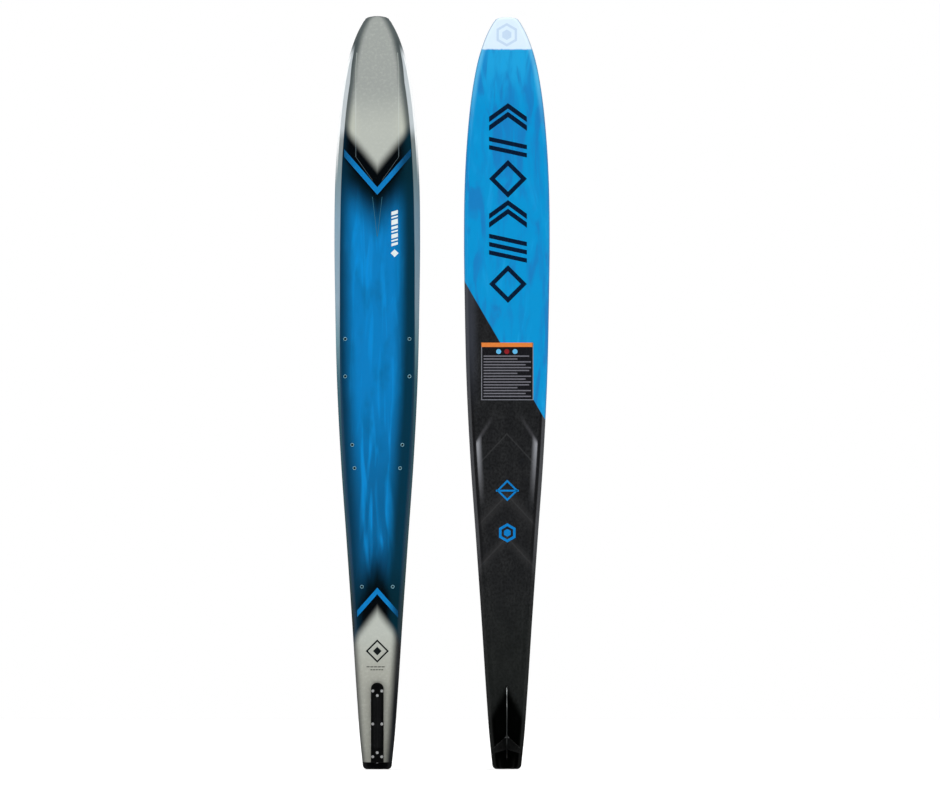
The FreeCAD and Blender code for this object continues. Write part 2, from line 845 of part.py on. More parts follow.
def wing_nuts(name, placement):
    body = new_body(name, placement)
    outer = "(fin_half + wing_gap + wing_wall)"
    low = f"-({outer} + wing_nut_height)"
    pad(body, "YZ_Plane", hexes(wing_places(), "wing_nut"), low, f"-{outer}")
    pocket(body, "YZ_Plane", discs(wing_places(), "wing_screw"), low, f"-{outer}")


def wing_tilt():
    """The wing turned nose down about its front screw."""
    pivot = Vector(0, value("wing_pivot"), value("wing_level"))
    turn = Rotation(Vector(1, 0, 0), -WING_REST_ANGLE)
    return Placement(pivot - turn.multVec(pivot), turn)


def build_ski(prefix, placement, pieces):
    """Every piece of one ski, each under its own label."""
    for name, shape in pieces.items():
        feature = doc.addObject("Part::Feature", f"{prefix}_{name}")
        feature.Label = f"{prefix}_{name}"
        feature.Shape = shape.copy()
        feature.Placement = placement
        subparts.append(feature)
    for name, places in insert_places().items():
        inserts(f"{prefix}_{name}", places, placement)
    fin_block(f"{prefix}_fin_block", placement)
    mounting_screws(f"{prefix}_mounting_screws", placement)
    clamp_bar(f"{prefix}_clamp_bar", placement)
    clamp_bolts(f"{prefix}_clamp_bolts", placement)
    for end, (station, _) in DEPTH_STATIONS.items():
        depth_screw(f"{prefix}_{end}_depth_screw", station, placement)
        screw_clip(f"{prefix}_{end}_screw_clip", station, placement)
    depth_nuts(f"{prefix}_depth_nuts", placement)
    depth_pins(f"{prefix}_depth_pins", placement)
    low = "fin_front + travel_gap"
    high = "travel_front_end"
    screw = f"{prefix}_front_travel_screw"
    travel_screw(screw, low, high, f"{high} - socket_depth", high, placement)
    low = "travel_rear_end"
    high = "fin_rear_top - travel_gap"
    screw = f"{prefix}_rear_travel_screw"
    travel_screw(screw, low, high, low, f"{low} + socket_depth", placement)
    fin(f"{prefix}_fin", placement)
    tilted = placement.multiply(wing_tilt())
    wing(f"{prefix}_wing_port", -1, tilted)
    wing(f"{prefix}_wing_starboard", 1, tilted)
    wing_screws(f"{prefix}_wing_screws", tilted)
    wing_nuts(f"{prefix}_wing_nuts", tilted)


def ski_placement(side):
    """Tail down, and the deck turned to -Y on the left ski and +Y on the right."""
    upright = Rotation(Vector(1, 0, 0), 90)
    turn = Rotation(Vector(0, 0, 1), 180 if side > 0 else 0)
    return Placement(Vector(side * size("ski_spacing") / 2, 0, 0), turn.multiply(upright))


def check_and_export():
    """Stop on any failed object or shape, then write one file for each sub-part."""
    doc.recompute()
    for item in doc.Objects:
        if "Invalid" in item.State or "Error" in item.State:
            raise RuntimeError(f"{item.Label} failed: {item.State}")
    os.makedirs("parts", exist_ok=True)
    for item in subparts:
        if item.Shape.isNull() or not item.Shape.isValid():
            raise RuntimeError(f"{item.Label} has no valid shape")
        item.Shape.exportStep(f"parts/{item.Label}.step")
        print(f"{item.Label}: {len(item.Shape.Solids)} solids, {item.Shape.Volume:.1f} mm3")


laminate_pieces = laminate()
build_ski("left", ski_placement(-1), laminate_pieces)
build_ski("right", ski_placement(1), laminate_pieces)
check_and_export()
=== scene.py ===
import math

import bmesh
import bpy
from bpy.props import FloatProperty, FloatVectorProperty, IntProperty, PointerProperty
from mathutils import Matrix, Vector


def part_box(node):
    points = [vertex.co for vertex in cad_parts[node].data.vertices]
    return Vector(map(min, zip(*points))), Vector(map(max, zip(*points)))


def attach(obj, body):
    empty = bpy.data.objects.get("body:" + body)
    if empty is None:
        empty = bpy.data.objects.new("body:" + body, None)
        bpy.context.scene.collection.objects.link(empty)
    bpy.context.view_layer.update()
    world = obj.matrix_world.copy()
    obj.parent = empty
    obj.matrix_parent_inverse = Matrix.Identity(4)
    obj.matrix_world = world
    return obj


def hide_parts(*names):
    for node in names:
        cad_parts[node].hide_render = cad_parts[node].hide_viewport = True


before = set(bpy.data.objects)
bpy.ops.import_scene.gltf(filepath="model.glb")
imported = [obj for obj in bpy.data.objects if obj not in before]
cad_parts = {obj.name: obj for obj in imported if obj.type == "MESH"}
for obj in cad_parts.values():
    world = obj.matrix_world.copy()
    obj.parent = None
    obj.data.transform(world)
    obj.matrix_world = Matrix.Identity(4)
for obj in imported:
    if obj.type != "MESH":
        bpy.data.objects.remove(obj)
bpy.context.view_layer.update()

bl_info = {
    "name": "Water Ski Pair",
    "version": (1, 0, 0),
    "blender": (4, 5, 0),
    "location": "3D View > Sidebar > Water Skis",
    "description": "Lacquered shells, printed graphics and fittings of a pair of slalom skis",
    "category": "Object",
}

# Each ski is shaped lying flat in its own frame and then stood on its tail: X goes
# across it, Y along it from the tail, Z up out of the deck, and Z = 0 is the lowest
# line of its base. Lengths are in metres, or in millimetres times MM.

MM = 0.001
SKIN_LOW, SKIN_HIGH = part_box("left_deck_skin")
BLOCK_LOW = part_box("left_fin_block")[0]
LENGTH = SKIN_HIGH.z - SKIN_LOW.z
HALF = (SKIN_HIGH.x - SKIN_LOW.x) / 2
ROW = -(SKIN_HIGH.x + SKIN_LOW.x) / 2
BLOCK_HEIGHT = 15 * MM
DECK = -BLOCK_LOW.y - BLOCK_HEIGHT
SHELL_WELD = 0.005 * MM
CAD_WELD = 0.001 * MM
BAND_SLOPE = 1.147
INSERT_GROUPS = ("front_inserts", "heel_inserts", "rear_inserts")

PREFIXES = ("left", "right")
UPRIGHT = Matrix.Rotation(math.radians(90), 4, "X")
STANDS = {
    "left": Matrix.Translation((-ROW, 0, 0)) @ UPRIGHT,
    "right": Matrix.Translation((ROW, 0, 0)) @ Matrix.Rotation(math.pi, 4, "Z") @ UPRIGHT,
}

# The side curve: millimetres from the tail, and half width as a share of the widest.
OUTLINE = (
    (10, 0.340),
    (24, 0.356),
    (64, 0.400),
    (151, 0.469),
    (327, 0.591),
    (502, 0.719),
    (678, 0.850),
    (853, 0.942),
    (1028, 0.984),
    (1160, 1.000),
    (1291, 0.980),
    (1379, 0.928),
    (1467, 0.836),
    (1511, 0.766),
    (1555, 0.670),
    (1588, 0.564),
    (1611, 0.468),
    (1629, 0.370),
    (1641, 0.287),
    (1647, 0.214),
)


def ink(red, green, blue):
    """A colour for a shader, from the 0 to 255 values of a swatch book."""
    linear = []
    for part in (red, green, blue):
        share = part / 255
        linear.append(share / 12.92 if share <= 0.04045 else ((share + 0.055) / 1.055) ** 2.4)
    return (*linear, 1.0)


def size_property(name, description, millimetres):
    return FloatProperty(
        name=name, description=description, default=millimetres * MM, unit="LENGTH", precision=4
    )


def colour_property(name, description, *swatch):
    return FloatVectorProperty(
        name=name, description=description, default=ink(*swatch), size=4, subtype="COLOR"
    )


class HullSizes(bpy.types.PropertyGroup):
    """Sizes of one ski's moulded hull and its inserts"""

    tail_rise: size_property("Tail rise", "Lift of the base at the tail", 13)
    tail_rocker: size_property("Tail rocker", "Length of the tail's curve", 450)
    tip_rise: size_property("Tip rise", "Lift of the base at the tip", 85)
    tip_rocker: size_property("Tip rocker", "Length of the tip's curve", 650)
    taper_start: size_property("Taper start", "Where the deck starts to thin out", 980)
    tip_thickness: size_property("Tip thickness", "Thickness at the tip", 8)
    bevel: size_property("Deck bevel", "Width of the bevel beside the deck", 10)
    base_bevel: size_property("Base bevel", "Width of the bevel beside the base", 8)
    chine: size_property("Rail level", "Height of the rail's lower edge", 5)
    rail: size_property("Rail height", "Height of the upright rail", 2.5)
    tunnel: size_property("Tunnel depth", "Depth of the hollow along the base", 4)
    shoulder: size_property("Shoulder", "Flat beside the tunnel", 9)
    crease: size_property("Crease", "Rounding of the deck's edge line", 3)
    wall: size_property("Shell wall", "Thickness of each moulded shell", 1)
    pitch: size_property("Row pitch", "Distance between two rows of the shell mesh", 8)
    corner: size_property("Tail corner", "Radius of the tail's corners", 10)
    turned_steps: IntProperty(
        name="Steps round", description="Segments of an insert ring", default=32, min=8
    )


class GraphicColours(bpy.types.PropertyGroup):
    """Colours of the lacquer and of the printed shapes"""

    silver: colour_property("Silver", "Panels at the tip and tail of the deck", 164, 169, 165)
    deck_blue: colour_property("Deck blue", "Middle of the deck", 0, 122, 190)
    deck_streak: colour_property("Deck streak", "Light streaks in the deck's blue", 0, 142, 218)
    deck_dark: colour_property("Deck dark", "Fades between the deck's fields", 4, 9, 13)
    bevel_pale: colour_property("Bevel pale", "Side bevel near the tip", 193, 201, 205)
    bevel_steel: colour_property("Bevel steel", "Side bevel ahead of the bindings", 132, 160, 178)
    base_blue: colour_property("Base blue", "Front of the base", 0, 146, 209)
    base_streak: colour_property("Base streak", "Streaks in the base's blue", 24, 118, 188)
    base_carbon: colour_property("Base black", "Rear of the base", 33, 34, 36)
    base_tip: colour_property("Base tip", "Front end of the base", 214, 235, 252)
    band: colour_property("Band", "The two chevrons on the deck", 0, 122, 192)
    navy: colour_property("Navy", "Bold shapes on the base", 4, 26, 52)
    orange: colour_property("Orange", "Head of the blank plate", 226, 128, 58)


class StageSizes(bpy.types.PropertyGroup):
    """Camera, floor and lamps"""

    camera_away: size_property("Camera distance", "From the skis", 60000)
    view_width: size_property("View width", "Width in view at the skis", 2061)
    camera_side: size_property("Camera side", "Middle of the view across", 61.2)
    camera_height: size_property("Camera height", "Middle of the view", 822.4)
    floor_reach: size_property("Floor reach", "Half the floor's side", 9000)
    ambient: FloatProperty(
        name="Ambient", description="Light of the surroundings", default=0.7, min=0
    )
    mirrored: FloatProperty(
        name="Mirrored", description="What gloss reflects of them", default=0.45, min=0
    )
    sky: FloatProperty(
        name="Sky", description="Soft light from straight above", default=1.9, min=0
    )


# ---- shape of the hull -------------------------------------------------------


def ease(x):
    """A smooth step from 0 to 1."""
    x = min(max(x, 0.0), 1.0)
    return x * x * (3 - 2 * x)


def side_points():
    """The side curve's points with their slopes, in metres."""
    points = [(along * MM, share * HALF) for along, share in OUTLINE]
    nose = LENGTH - points[-1][0]
    slopes = [0.0]
    for (a, wa), (b, wb), (c, wc) in zip(points, points[1:], points[2:]):
        behind = (wb - wa) / (b - a)
        ahead = (wc - wb) / (c - b)
        slopes.append((behind * (c - b) + ahead * (b - a)) / (c - a))
    slopes.append(-points[-1][1] / (2 * nose))
    slopes[0] = (points[1][1] - points[0][1]) / (points[1][0] - points[0][0])
    return points, slopes


SIDE, SIDE_SLOPES = side_points()


def half_width(along):
    """Half the ski's width, with round tail corners and a round nose."""
    start, start_half = SIDE[0]
    end, end_half = SIDE[-1]
    if along < start:
        turn = math.acos(min(1.0, max(-1.0, 1 - along / start)))
        return start_half - start * (1 - math.sin(turn))
    if along >= end:
        left = max(0.0, LENGTH - along) / (LENGTH - end)
        return end_half * math.sqrt(left)
    at = next(i for i in range(1, len(SIDE)) if along <= SIDE[i][0])
    (a, wa), (b, wb) = SIDE[at - 1], SIDE[at]
    span = b - a
    t = (along - a) / span
    first = (1 + 2 * t) * (1 - t) ** 2 * wa + t * (1 - t) ** 2 * span * SIDE_SLOPES[at - 1]
    second = t * t * (3 - 2 * t) * wb + t * t * (t - 1) * span * SIDE_SLOPES[at]
    return first + second


def base_level(along):
    """Lift of the base's low line, from the rocker at the tail and at the tip."""
    sizes = bpy.context.scene.ski_hull
    tail = max(0.0, 1 - along / sizes.tail_rocker)
    tip = max(0.0, 1 - (LENGTH - along) / sizes.tip_rocker)
    return sizes.tail_rise * tail**2 + sizes.tip_rise * tip**2.4


def thickness(along):
    """Height of the deck over the base's low line."""
    sizes = bpy.context.scene.ski_hull
    if along <= sizes.taper_start:
        return DECK - base_level(along)
    share = ease((along - sizes.taper_start) / (LENGTH - sizes.taper_start))
    return DECK + (sizes.tip_thickness - DECK) * share


def rail(along):
    """Lower edge, seam and upper edge of the rail, over the base's low line."""
    sizes = bpy.context.scene.ski_hull
    low = min(sizes.chine, 0.42 * thickness(along))
    high = low + min(sizes.rail, 0.25 * thickness(along))
    return low, (low + high) / 2, high


def bend(corner, before, after, reach):
    """Points of a rounded corner, leaving and joining its two straight sides."""
    start = corner + (before - corner).normalized() * reach
    end = corner + (after - corner).normalized() * reach
    points = []
    for step in range(6):
        t = step / 5
        points.append(start * (1 - t) ** 2 + corner * 2 * t * (1 - t) + end * t * t)
    return points


def deck_half(along, half):
    """The deck from its middle out to the seam, as points across and up."""
    sizes = bpy.context.scene.ski_hull
    bevel = min(sizes.bevel, 0.6 * half)
    seam, high = (base_level(along) + level for level in rail(along)[1:])
    deck = base_level(along) + thickness(along)
    scale = bevel / sizes.bevel
    middle, line = Vector((0, deck)), Vector((half - bevel, deck))
    top, foot = Vector((half, high)), Vector((half, seam))
    crease = sizes.crease * scale
    points = [middle.lerp(line - Vector((crease, 0)), step / 9) for step in range(9)]
    points += bend(line, middle, top, crease)
    points += [line.lerp(top, share) for share in (0.4, 0.6, 0.8)]
    points += bend(top, line, foot, 0.8 * (high - seam))
    return [*points, foot]


def base_half(along, half):
    """The base from its middle out to the seam, as points across and up."""
    sizes = bpy.context.scene.ski_hull
    edge = min(sizes.base_bevel, 0.5 * half)
    shoulder = min(sizes.shoulder, 0.2 * half)
    low, seam = rail(along)[:2]
    fade = 1 - 0.85 * ease((along - 0.7) / 0.7)
    depth = sizes.tunnel * fade * min(1.0, half / 0.05)
    inner = half - edge - shoulder
    wall_width = min(6 * MM, inner / 3)
    wall = 0.4 * MM * ease((0.745 - along) / 0.045) * min(1.0, half / 0.05)
    points = []
    shares = [step / 10 for step in range(10)]
    across = [(inner - wall_width) * share for share in shares]
    across += [inner - wall_width * (1 - step / 6) for step in range(7)]
    for spot in across:
        rise = depth * (1 - (spot / inner) ** 2)
        rise += wall * ease((inner - spot) / wall_width)
        points.append(Vector((spot, rise)))
    line, chine, foot = Vector((half - edge, 0)), Vector((half, low)), Vector((half, seam))
    points += bend(line, points[-1], chine, 2 * MM * edge / sizes.base_bevel)
    points.append(line.lerp(chine, 0.6))
    points += bend(chine, line, foot, 0.8 * (seam - low))
    points.append(foot)
    return [point + Vector((0, base_level(along))) for point in points]


def height_on(half_profile, across, along):
    """Level of a shell at one place, between the points of its profile."""
    points = half_profile(along, half_width(along))
    spot = abs(across)
    for before, after in zip(points, points[1:]):
        if spot <= after.x:
            span = max(after.x - before.x, 1e-9)
            return before.y + (after.y - before.y) * (spot - before.x) / span
    return points[-1].y


def hull_rows():
    """Rows of the shell mesh: distance along, half width, and how much of its height
    over the seam the row keeps, which closes the tail and rounds the nose."""
    sizes = bpy.context.scene.ski_hull
    rows = [(0, half_width(0), keep) for keep in (0, 0.35, 0.7, 0.88)]
    rows.append((0.25 * MM, half_width(0.25 * MM), 0.97))
    for step in range(2, 9):
        turn = math.radians(90 * step / 8)
        along = sizes.corner * (1 - math.cos(turn))
        rows.append((along, half_width(along), 1))
    tip, end = SIDE[-5][0], SIDE[-1][0]
    steps = round((tip - sizes.corner) / sizes.pitch)
    for step in range(1, steps + 1):
        along = sizes.corner + (tip - sizes.corner) * step / steps
        rows.append((along, half_width(along), 1))
    for step in range(1, 21):
        along = tip + (end - tip) * step / 20
        rows.append((along, half_width(along), nose_keep(along)))
    for share in (0.93, 0.85, 0.75, 0.62, 0.45, 0.25, 0):
        along = LENGTH - (LENGTH - end) * share**2
        rows.append((along, half_width(along), nose_keep(along)))
    return rows


def nose_keep(along):
    """How much of its height the nose keeps, which rounds its last millimetres."""
    reach = 5 * MM
    into = max(0.0, (along - (LENGTH - reach)) / reach)
    return math.sqrt(max(0.0, 1 - into**2))


def shell_mesh(name, half_profile, top_side):
    """A shell as a grid whose rows and columns are laid on the hull's formulas."""
    rows = hull_rows()
    columns = 2 * len(half_profile(0.5, half_width(0.5))) - 1
    bm = bmesh.new()
    bmesh.ops.create_grid(bm, x_segments=columns - 1, y_segments=len(rows) - 1, size=1)
    profiles = []
    for along, half, keep in rows:
        points = half_profile(along, max(half, 0.02 * MM))
        left = [Vector((-point.x, point.y)) for point in reversed(points[1:])]
        profiles.append(left + points)
    flat_map = bm.loops.layers.uv.new("ski")
    rim_map = bm.loops.layers.uv.new("rim")
    maps = {}
    for vertex in bm.verts:
        column = round((vertex.co.x + 1) / 2 * (columns - 1))
        row = round((vertex.co.y + 1) / 2 * (len(rows) - 1))
        along, half, keep = rows[row]
        point = profiles[row][column]
        seam = base_level(along) + rail(along)[1]
        level = seam + (point.y - seam) * keep
        vertex.co = Vector((point.x, along, level))
        maps[vertex.index] = (point.x, along, half - abs(point.x), abs(point.y - seam))
    for face in bm.faces:
        for loop in face.loops:
            across, along, rim, rise = maps[loop.vert.index]
            loop[flat_map].uv = (across, along)
            loop[rim_map].uv = (rim, rise)
    if not top_side:
        bmesh.ops.reverse_faces(bm, faces=bm.faces[:])
    bmesh.ops.remove_doubles(bm, verts=bm.verts[:], dist=SHELL_WELD)
    bmesh.ops.dissolve_degenerate(bm, dist=0.4 * SHELL_WELD, edges=bm.edges[:])
    return to_mesh(bm, name)


# ---- making and placing pieces -------------------------------------------------


def to_mesh(bm, name):
    """Write a bmesh into a new mesh and free it."""
    mesh = bpy.data.meshes.new(name)
    bm.to_mesh(mesh)
    bm.free()
    return mesh


def scratch_object(name, mesh):
    made = bpy.data.objects.new(name, mesh)
    bpy.context.scene.collection.objects.link(made)
    return made


def baked_mesh(obj):
    """The mesh of an object with its modifiers applied; the object goes."""
    graph = bpy.context.evaluated_depsgraph_get()
    mesh = bpy.data.meshes.new_from_object(obj.evaluated_get(graph))
    bpy.data.objects.remove(obj)
    return mesh


def carved(mesh, cutter_mesh):
    """A shell given its wall, with the cutter's shapes taken out of it."""
    work = scratch_object("work", mesh)
    wall = work.modifiers.new("wall", "SOLIDIFY")
    wall.thickness = bpy.context.scene.ski_hull.wall
    wall.offset = -1
    cutter = scratch_object("cutter", cutter_mesh)
    cut = work.modifiers.new("cut", "BOOLEAN")
    cut.operation = "DIFFERENCE"
    cut.solver = "EXACT"
    cut.object = cutter
    done = baked_mesh(work)
    bpy.data.objects.remove(cutter)
    return done


def smooth(mesh, degrees=30):
    mesh.shade_smooth()
    mesh.set_sharp_from_angle(angle=math.radians(degrees))
    return mesh


def place_pair(name, mesh, finishes, part="ski", replaces=()):
    """Stand a copy of a piece on each ski; names in replaces go without the prefix."""
    mesh.materials.clear()
    for finish in finishes:
        mesh.materials.append(finish)
    for prefix in PREFIXES:
        standing = mesh.copy()
        standing.transform(STANDS[prefix])
        standing.name = f"{prefix}_{name}"
        made = scratch_object(f"{prefix}_{name}", standing)
        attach(made, f"{prefix}_{part}")
        if replaces:
            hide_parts(*[f"{prefix}_{node}" for node in replaces])
    bpy.data.meshes.remove(mesh)


def flat_shapes(polygons):
    """Flat faces from lists of corners across and along the ski."""
    bm = bmesh.new()
    for corners in polygons:
        bm.faces.new([bm.verts.new((across, along, 0)) for across, along in corners])
    return bm


def printed(bm, half_profile, lift=0.12 * MM, depth=0.3 * MM, pitch=4 * MM):
    """Lay flat shapes on a shell as a thin film that follows its curves."""
    for axis in (0, 1):
        spots = [vertex.co[axis] for vertex in bm.verts]
        step = pitch if axis == 0 else 2 * pitch
        first = math.floor(min(spots) / step) + 1
        last = math.ceil(max(spots) / step)
        normal = Vector((1, 0, 0)) if axis == 0 else Vector((0, 1, 0))
        for index in range(first, last):
            geometry = bm.verts[:] + bm.edges[:] + bm.faces[:]
            bmesh.ops.bisect_plane(
                bm, geom=geometry, dist=1e-7, plane_co=normal * index * step, plane_no=normal
            )
    flat_map = bm.loops.layers.uv.new("ski")
    for face in bm.faces:
        for loop in face.loops:
            loop[flat_map].uv = loop.vert.co.xy
    way = 1 if half_profile is deck_half else -1
    for face in bm.faces:
        face.normal_update()
        if face.normal.z * way < 0:
            face.normal_flip()
    for vertex in bm.verts:
        level = height_on(half_profile, vertex.co.x, vertex.co.y)
        vertex.co.z = level - way * (depth - lift)
    grown = bmesh.ops.extrude_face_region(bm, geom=bm.faces[:], use_keep_orig=True)
    raised = [item for item in grown["geom"] if isinstance(item, bmesh.types.BMVert)]
    bmesh.ops.translate(bm, verts=raised, vec=(0, 0, way * depth))
    bmesh.ops.recalc_face_normals(bm, faces=bm.faces[:])
    return smooth(to_mesh(bm, "film"))


def print_pair(name, shapes, half_profile, finish, **film):
    """Print flat shapes on the deck or the base of each ski."""
    place_pair(name, printed(flat_shapes(shapes), half_profile, **film), [finish])


def chevron(apex, slope, left, right, height):
    """Two arms from an apex on the middle line, as two four-cornered shapes."""
    arms = []
    for reach in (-left, right):
        end = apex + slope * abs(reach)
        arms.append([(0, apex), (reach, end), (reach, end - height), (0, apex - height)])
    return arms


def bar_shape(left, right, low, high, slant=0.0):
    """A bar; slant lifts its right end."""
    return [(left, low), (right, low + slant), (right, high + slant), (left, high)]


def ring_shapes(across, along, radius, width, corners, turn=0.0):
    """A ring with straight sides, as one four-cornered shape for each side."""
    outer = many_sided(across, along, radius, corners, turn)
    inner = many_sided(across, along, radius - width, corners, turn)
    ahead = [*range(1, corners), 0]
    return [[outer[i], outer[j], inner[j], inner[i]] for i, j in enumerate(ahead)]


def many_sided(across, along, radius, corners, turn=0.0):
    """A flat shape with equal sides; turn is the angle of its first corner."""
    shape = []
    for step in range(corners):
        angle = math.radians(turn + 360 * step / corners)
        shape.append((across + radius * math.cos(angle), along + radius * math.sin(angle)))
    return shape


def turned(profile, centres):
    """One turned part, from its profile of radius and level, at each centre."""
    steps = bpy.context.scene.ski_hull.turned_steps
    bm = bmesh.new()
    for across, along in centres:
        chain = [bm.verts.new((across + radius, along, level)) for radius, level in profile]
        chain_edges = [bm.edges.new(pair) for pair in zip(chain, chain[1:])]
        bmesh.ops.spin(
            bm,
            geom=chain + chain_edges,
            cent=(across, along, 0),
            axis=(0, 0, 1),
            angle=2 * math.pi,
            steps=steps,
            use_merge=True,
        )
    bmesh.ops.remove_doubles(bm, verts=bm.verts[:], dist=SHELL_WELD)
    bmesh.ops.recalc_face_normals(bm, faces=bm.faces[:])
    return smooth(to_mesh(bm, "turned"))


def welded(node):
    """A copy of a CAD node's shape with its triangles joined, in its ski's own frame."""
    bm = bmesh.new()
    bm.from_mesh(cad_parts[node].data)
    bmesh.ops.remove_doubles(bm, verts=bm.verts[:], dist=CAD_WELD)
    bm.transform(STANDS[node.split("_")[0]].inverted())
    return bm


def solid_centres(node):
    """Places across and along of each separate solid of a node, from the tail up."""
    bm = welded(node)
    left = set(bm.verts)
    centres = []
    while left:
        reached = [left.pop()]
        group = list(reached)
        while reached:
            for edge in reached.pop().link_edges:
                for vertex in edge.verts:
                    if vertex in left:
                        left.remove(vertex)
                        reached.append(vertex)
                        group.append(vertex)
        spans = [[vertex.co[axis] for vertex in group] for axis in (0, 1)]
        centres.append(tuple((min(span) + max(span)) / 2 for span in spans))
    bm.free()
    return sorted(centres, key=lambda centre: (round(centre[1], 5), centre[0]))


def eased_copy(node, width, segments=2):
    """A fitting's own shape with its sharp edges eased, in the ski's own frame."""
    bm = welded(node)
    bmesh.ops.dissolve_limit(
        bm, angle_limit=math.radians(0.5), verts=bm.verts[:], edges=bm.edges[:]
    )
    sharp = [e for e in bm.edges if e.is_manifold and e.calc_face_angle() > math.radians(35)]
    bmesh.ops.bevel(
        bm,
        geom=sharp,
        affect="EDGES",
        offset=width,
        segments=segments,
        profile=0.5,
        material=-1,
        clamp_overlap=True,
    )
    return smooth(to_mesh(bm, node))


# ---- finishes ----------------------------------------------------------------


class Field:
    """A number or colour that varies over a surface. Sums and products of fields add
    the nodes that work them out."""

    def __init__(self, finish, socket):
        self.finish = finish
        self.socket = socket

    def maths(self, operation, *values):
        inputs = dict(enumerate(values))
        node = self.finish.node("ShaderNodeMath", {"operation": operation}, inputs)
        return Field(self.finish, node.outputs[0])

    def __add__(self, other):
        return self.maths("ADD", self, other)

    __radd__ = __add__

    def __sub__(self, other):
        return self.maths("SUBTRACT", self, other)

    def __rsub__(self, other):
        return self.maths("SUBTRACT", other, self)

    def __mul__(self, other):
        return self.maths("MULTIPLY", self, other)

    __rmul__ = __mul__

    def __truediv__(self, other):
        return self.maths("DIVIDE", self, other)

    def __abs__(self):
        return self.maths("ABSOLUTE", self)

    def sine(self, wavelength):
        return self.maths("SINE", self * (2 * math.pi / wavelength))

    def most(self, other):
        return self.maths("MAXIMUM", self, other)

    def least(self, other):
        return self.maths("MINIMUM", self, other)

    def step(self, low, high):
        """0 below low and 1 above high, or the reverse, with a smooth rise between."""
        first, last = (low, high) if low < high else (high, low)
        node = self.finish.node(
            "ShaderNodeMapRange",
            {"interpolation_type": "SMOOTHSTEP"},
            {"Value": self, "From Min": first, "From Max": last},
        )
        rise = Field(self.finish, node.outputs[0])
        return rise if low < high else 1 - rise


class Nodes:
    """A node tree, and the few calls that its nodes are made with."""

    def __init__(self, tree):
        self.tree = tree

    def feed(self, socket, value):
        if isinstance(value, Field):
            self.tree.links.new(value.socket, socket)
        else:
            socket.default_value = value

    def node(self, kind, settings=None, inputs=None):
        made = self.tree.nodes.new(kind)
        for key, value in (settings or {}).items():
            if key == "stops":
                self.set_stops(made.color_ramp, value)
            else:
                setattr(made, key, value)
        for key, value in (inputs or {}).items():
            self.feed(made.inputs[key], value)
        return made

    def set_stops(self, ramp, stops):
        ramp.elements.remove(ramp.elements[-1])
        ramp.elements[0].position = stops[0][0]
        ramp.elements[0].color = stops[0][1]
        for position, colour in stops[1:]:
            ramp.elements.new(position).color = colour

    def mix(self, share, first, second):
        inputs = {0: share, 6: first, 7: second}
        node = self.node("ShaderNodeMix", {"data_type": "RGBA"}, inputs)
        return Field(self, node.outputs[2])

    def ramp(self, field, stops):
        """A colour that changes with a field, from stops of position and colour."""
        node = self.node("ShaderNodeValToRGB", {"stops": stops}, {0: field})
        return Field(self, node.outputs[0])

    def place(self):
        """Object coordinates."""
        return Field(self, self.node("ShaderNodeTexCoord").outputs["Object"])

    def mapped(self, name):
        """A piece's own map, and its two parts."""
        node = self.node("ShaderNodeUVMap", {"uv_map": name})
        spot = Field(self, node.outputs[0])
        return (spot, *self.parts(spot)[:2])

    def parts(self, spot):
        node = self.node("ShaderNodeSeparateXYZ", inputs={0: spot})
        return [Field(self, node.outputs[axis]) for axis in range(3)]

    def stretched(self, spot, *scale):
        node = self.node("ShaderNodeVectorMath", {"operation": "MULTIPLY"}, {0: spot, 1: scale})
        return Field(self, node.outputs[0])

    def shifted(self, spot, *way):
        node = self.node("ShaderNodeVectorMath", {"operation": "ADD"}, {0: spot, 1: way})
        return Field(self, node.outputs[0])

    def noise(self, spot, scale=1.0, detail=2.0, roughness=0.5, distortion=0.0):
        inputs = {"Vector": spot, "Scale": scale, "Detail": detail}
        inputs.update({"Roughness": roughness, "Distortion": distortion})
        return Field(self, self.node("ShaderNodeTexNoise", inputs=inputs).outputs[0])


class Finish(Nodes):
    """One material of a piece."""

    def __init__(self, name):
        self.material = bpy.data.materials.new(name)
        self.material.use_nodes = True
        super().__init__(self.material.node_tree)
        self.shader = self.tree.nodes["Principled BSDF"]

    def set(self, **values):
        for key, value in values.items():
            self.feed(self.shader.inputs[key.replace("_", " ")], value)
        return self.material

    def lacquered(self, tone, roughness):
        """Clear lacquer over a colour."""
        return self.set(
            Base_Color=tone,
            Roughness=roughness,
            Specular_IOR_Level=0.14,
            Coat_Weight=0.1,
            Coat_Roughness=0.1,
        )

    def bump(self, height, strength, distance):
        inputs = {"Strength": strength, "Distance": distance, "Height": height}
        node = self.node("ShaderNodeBump", inputs=inputs)
        self.set(Normal=Field(self, node.outputs[0]))


def grey(level):
    return (level, level, level, 1.0)


def tip_field(along, side):
    """1 on the silver of the deck's tip, which ends in a V."""
    return (along - side * 1.22).step(1.300, 1.338)


class HullSpot:
    """Where a point of a shell lies: across and along its ski, how far in from its rim,
    and how far from the seam in height."""

    def __init__(self, finish):
        self.map, self.across, self.along = finish.mapped("ski")
        self.rim, self.rise = finish.mapped("rim")[1:]
        self.side = abs(self.across)


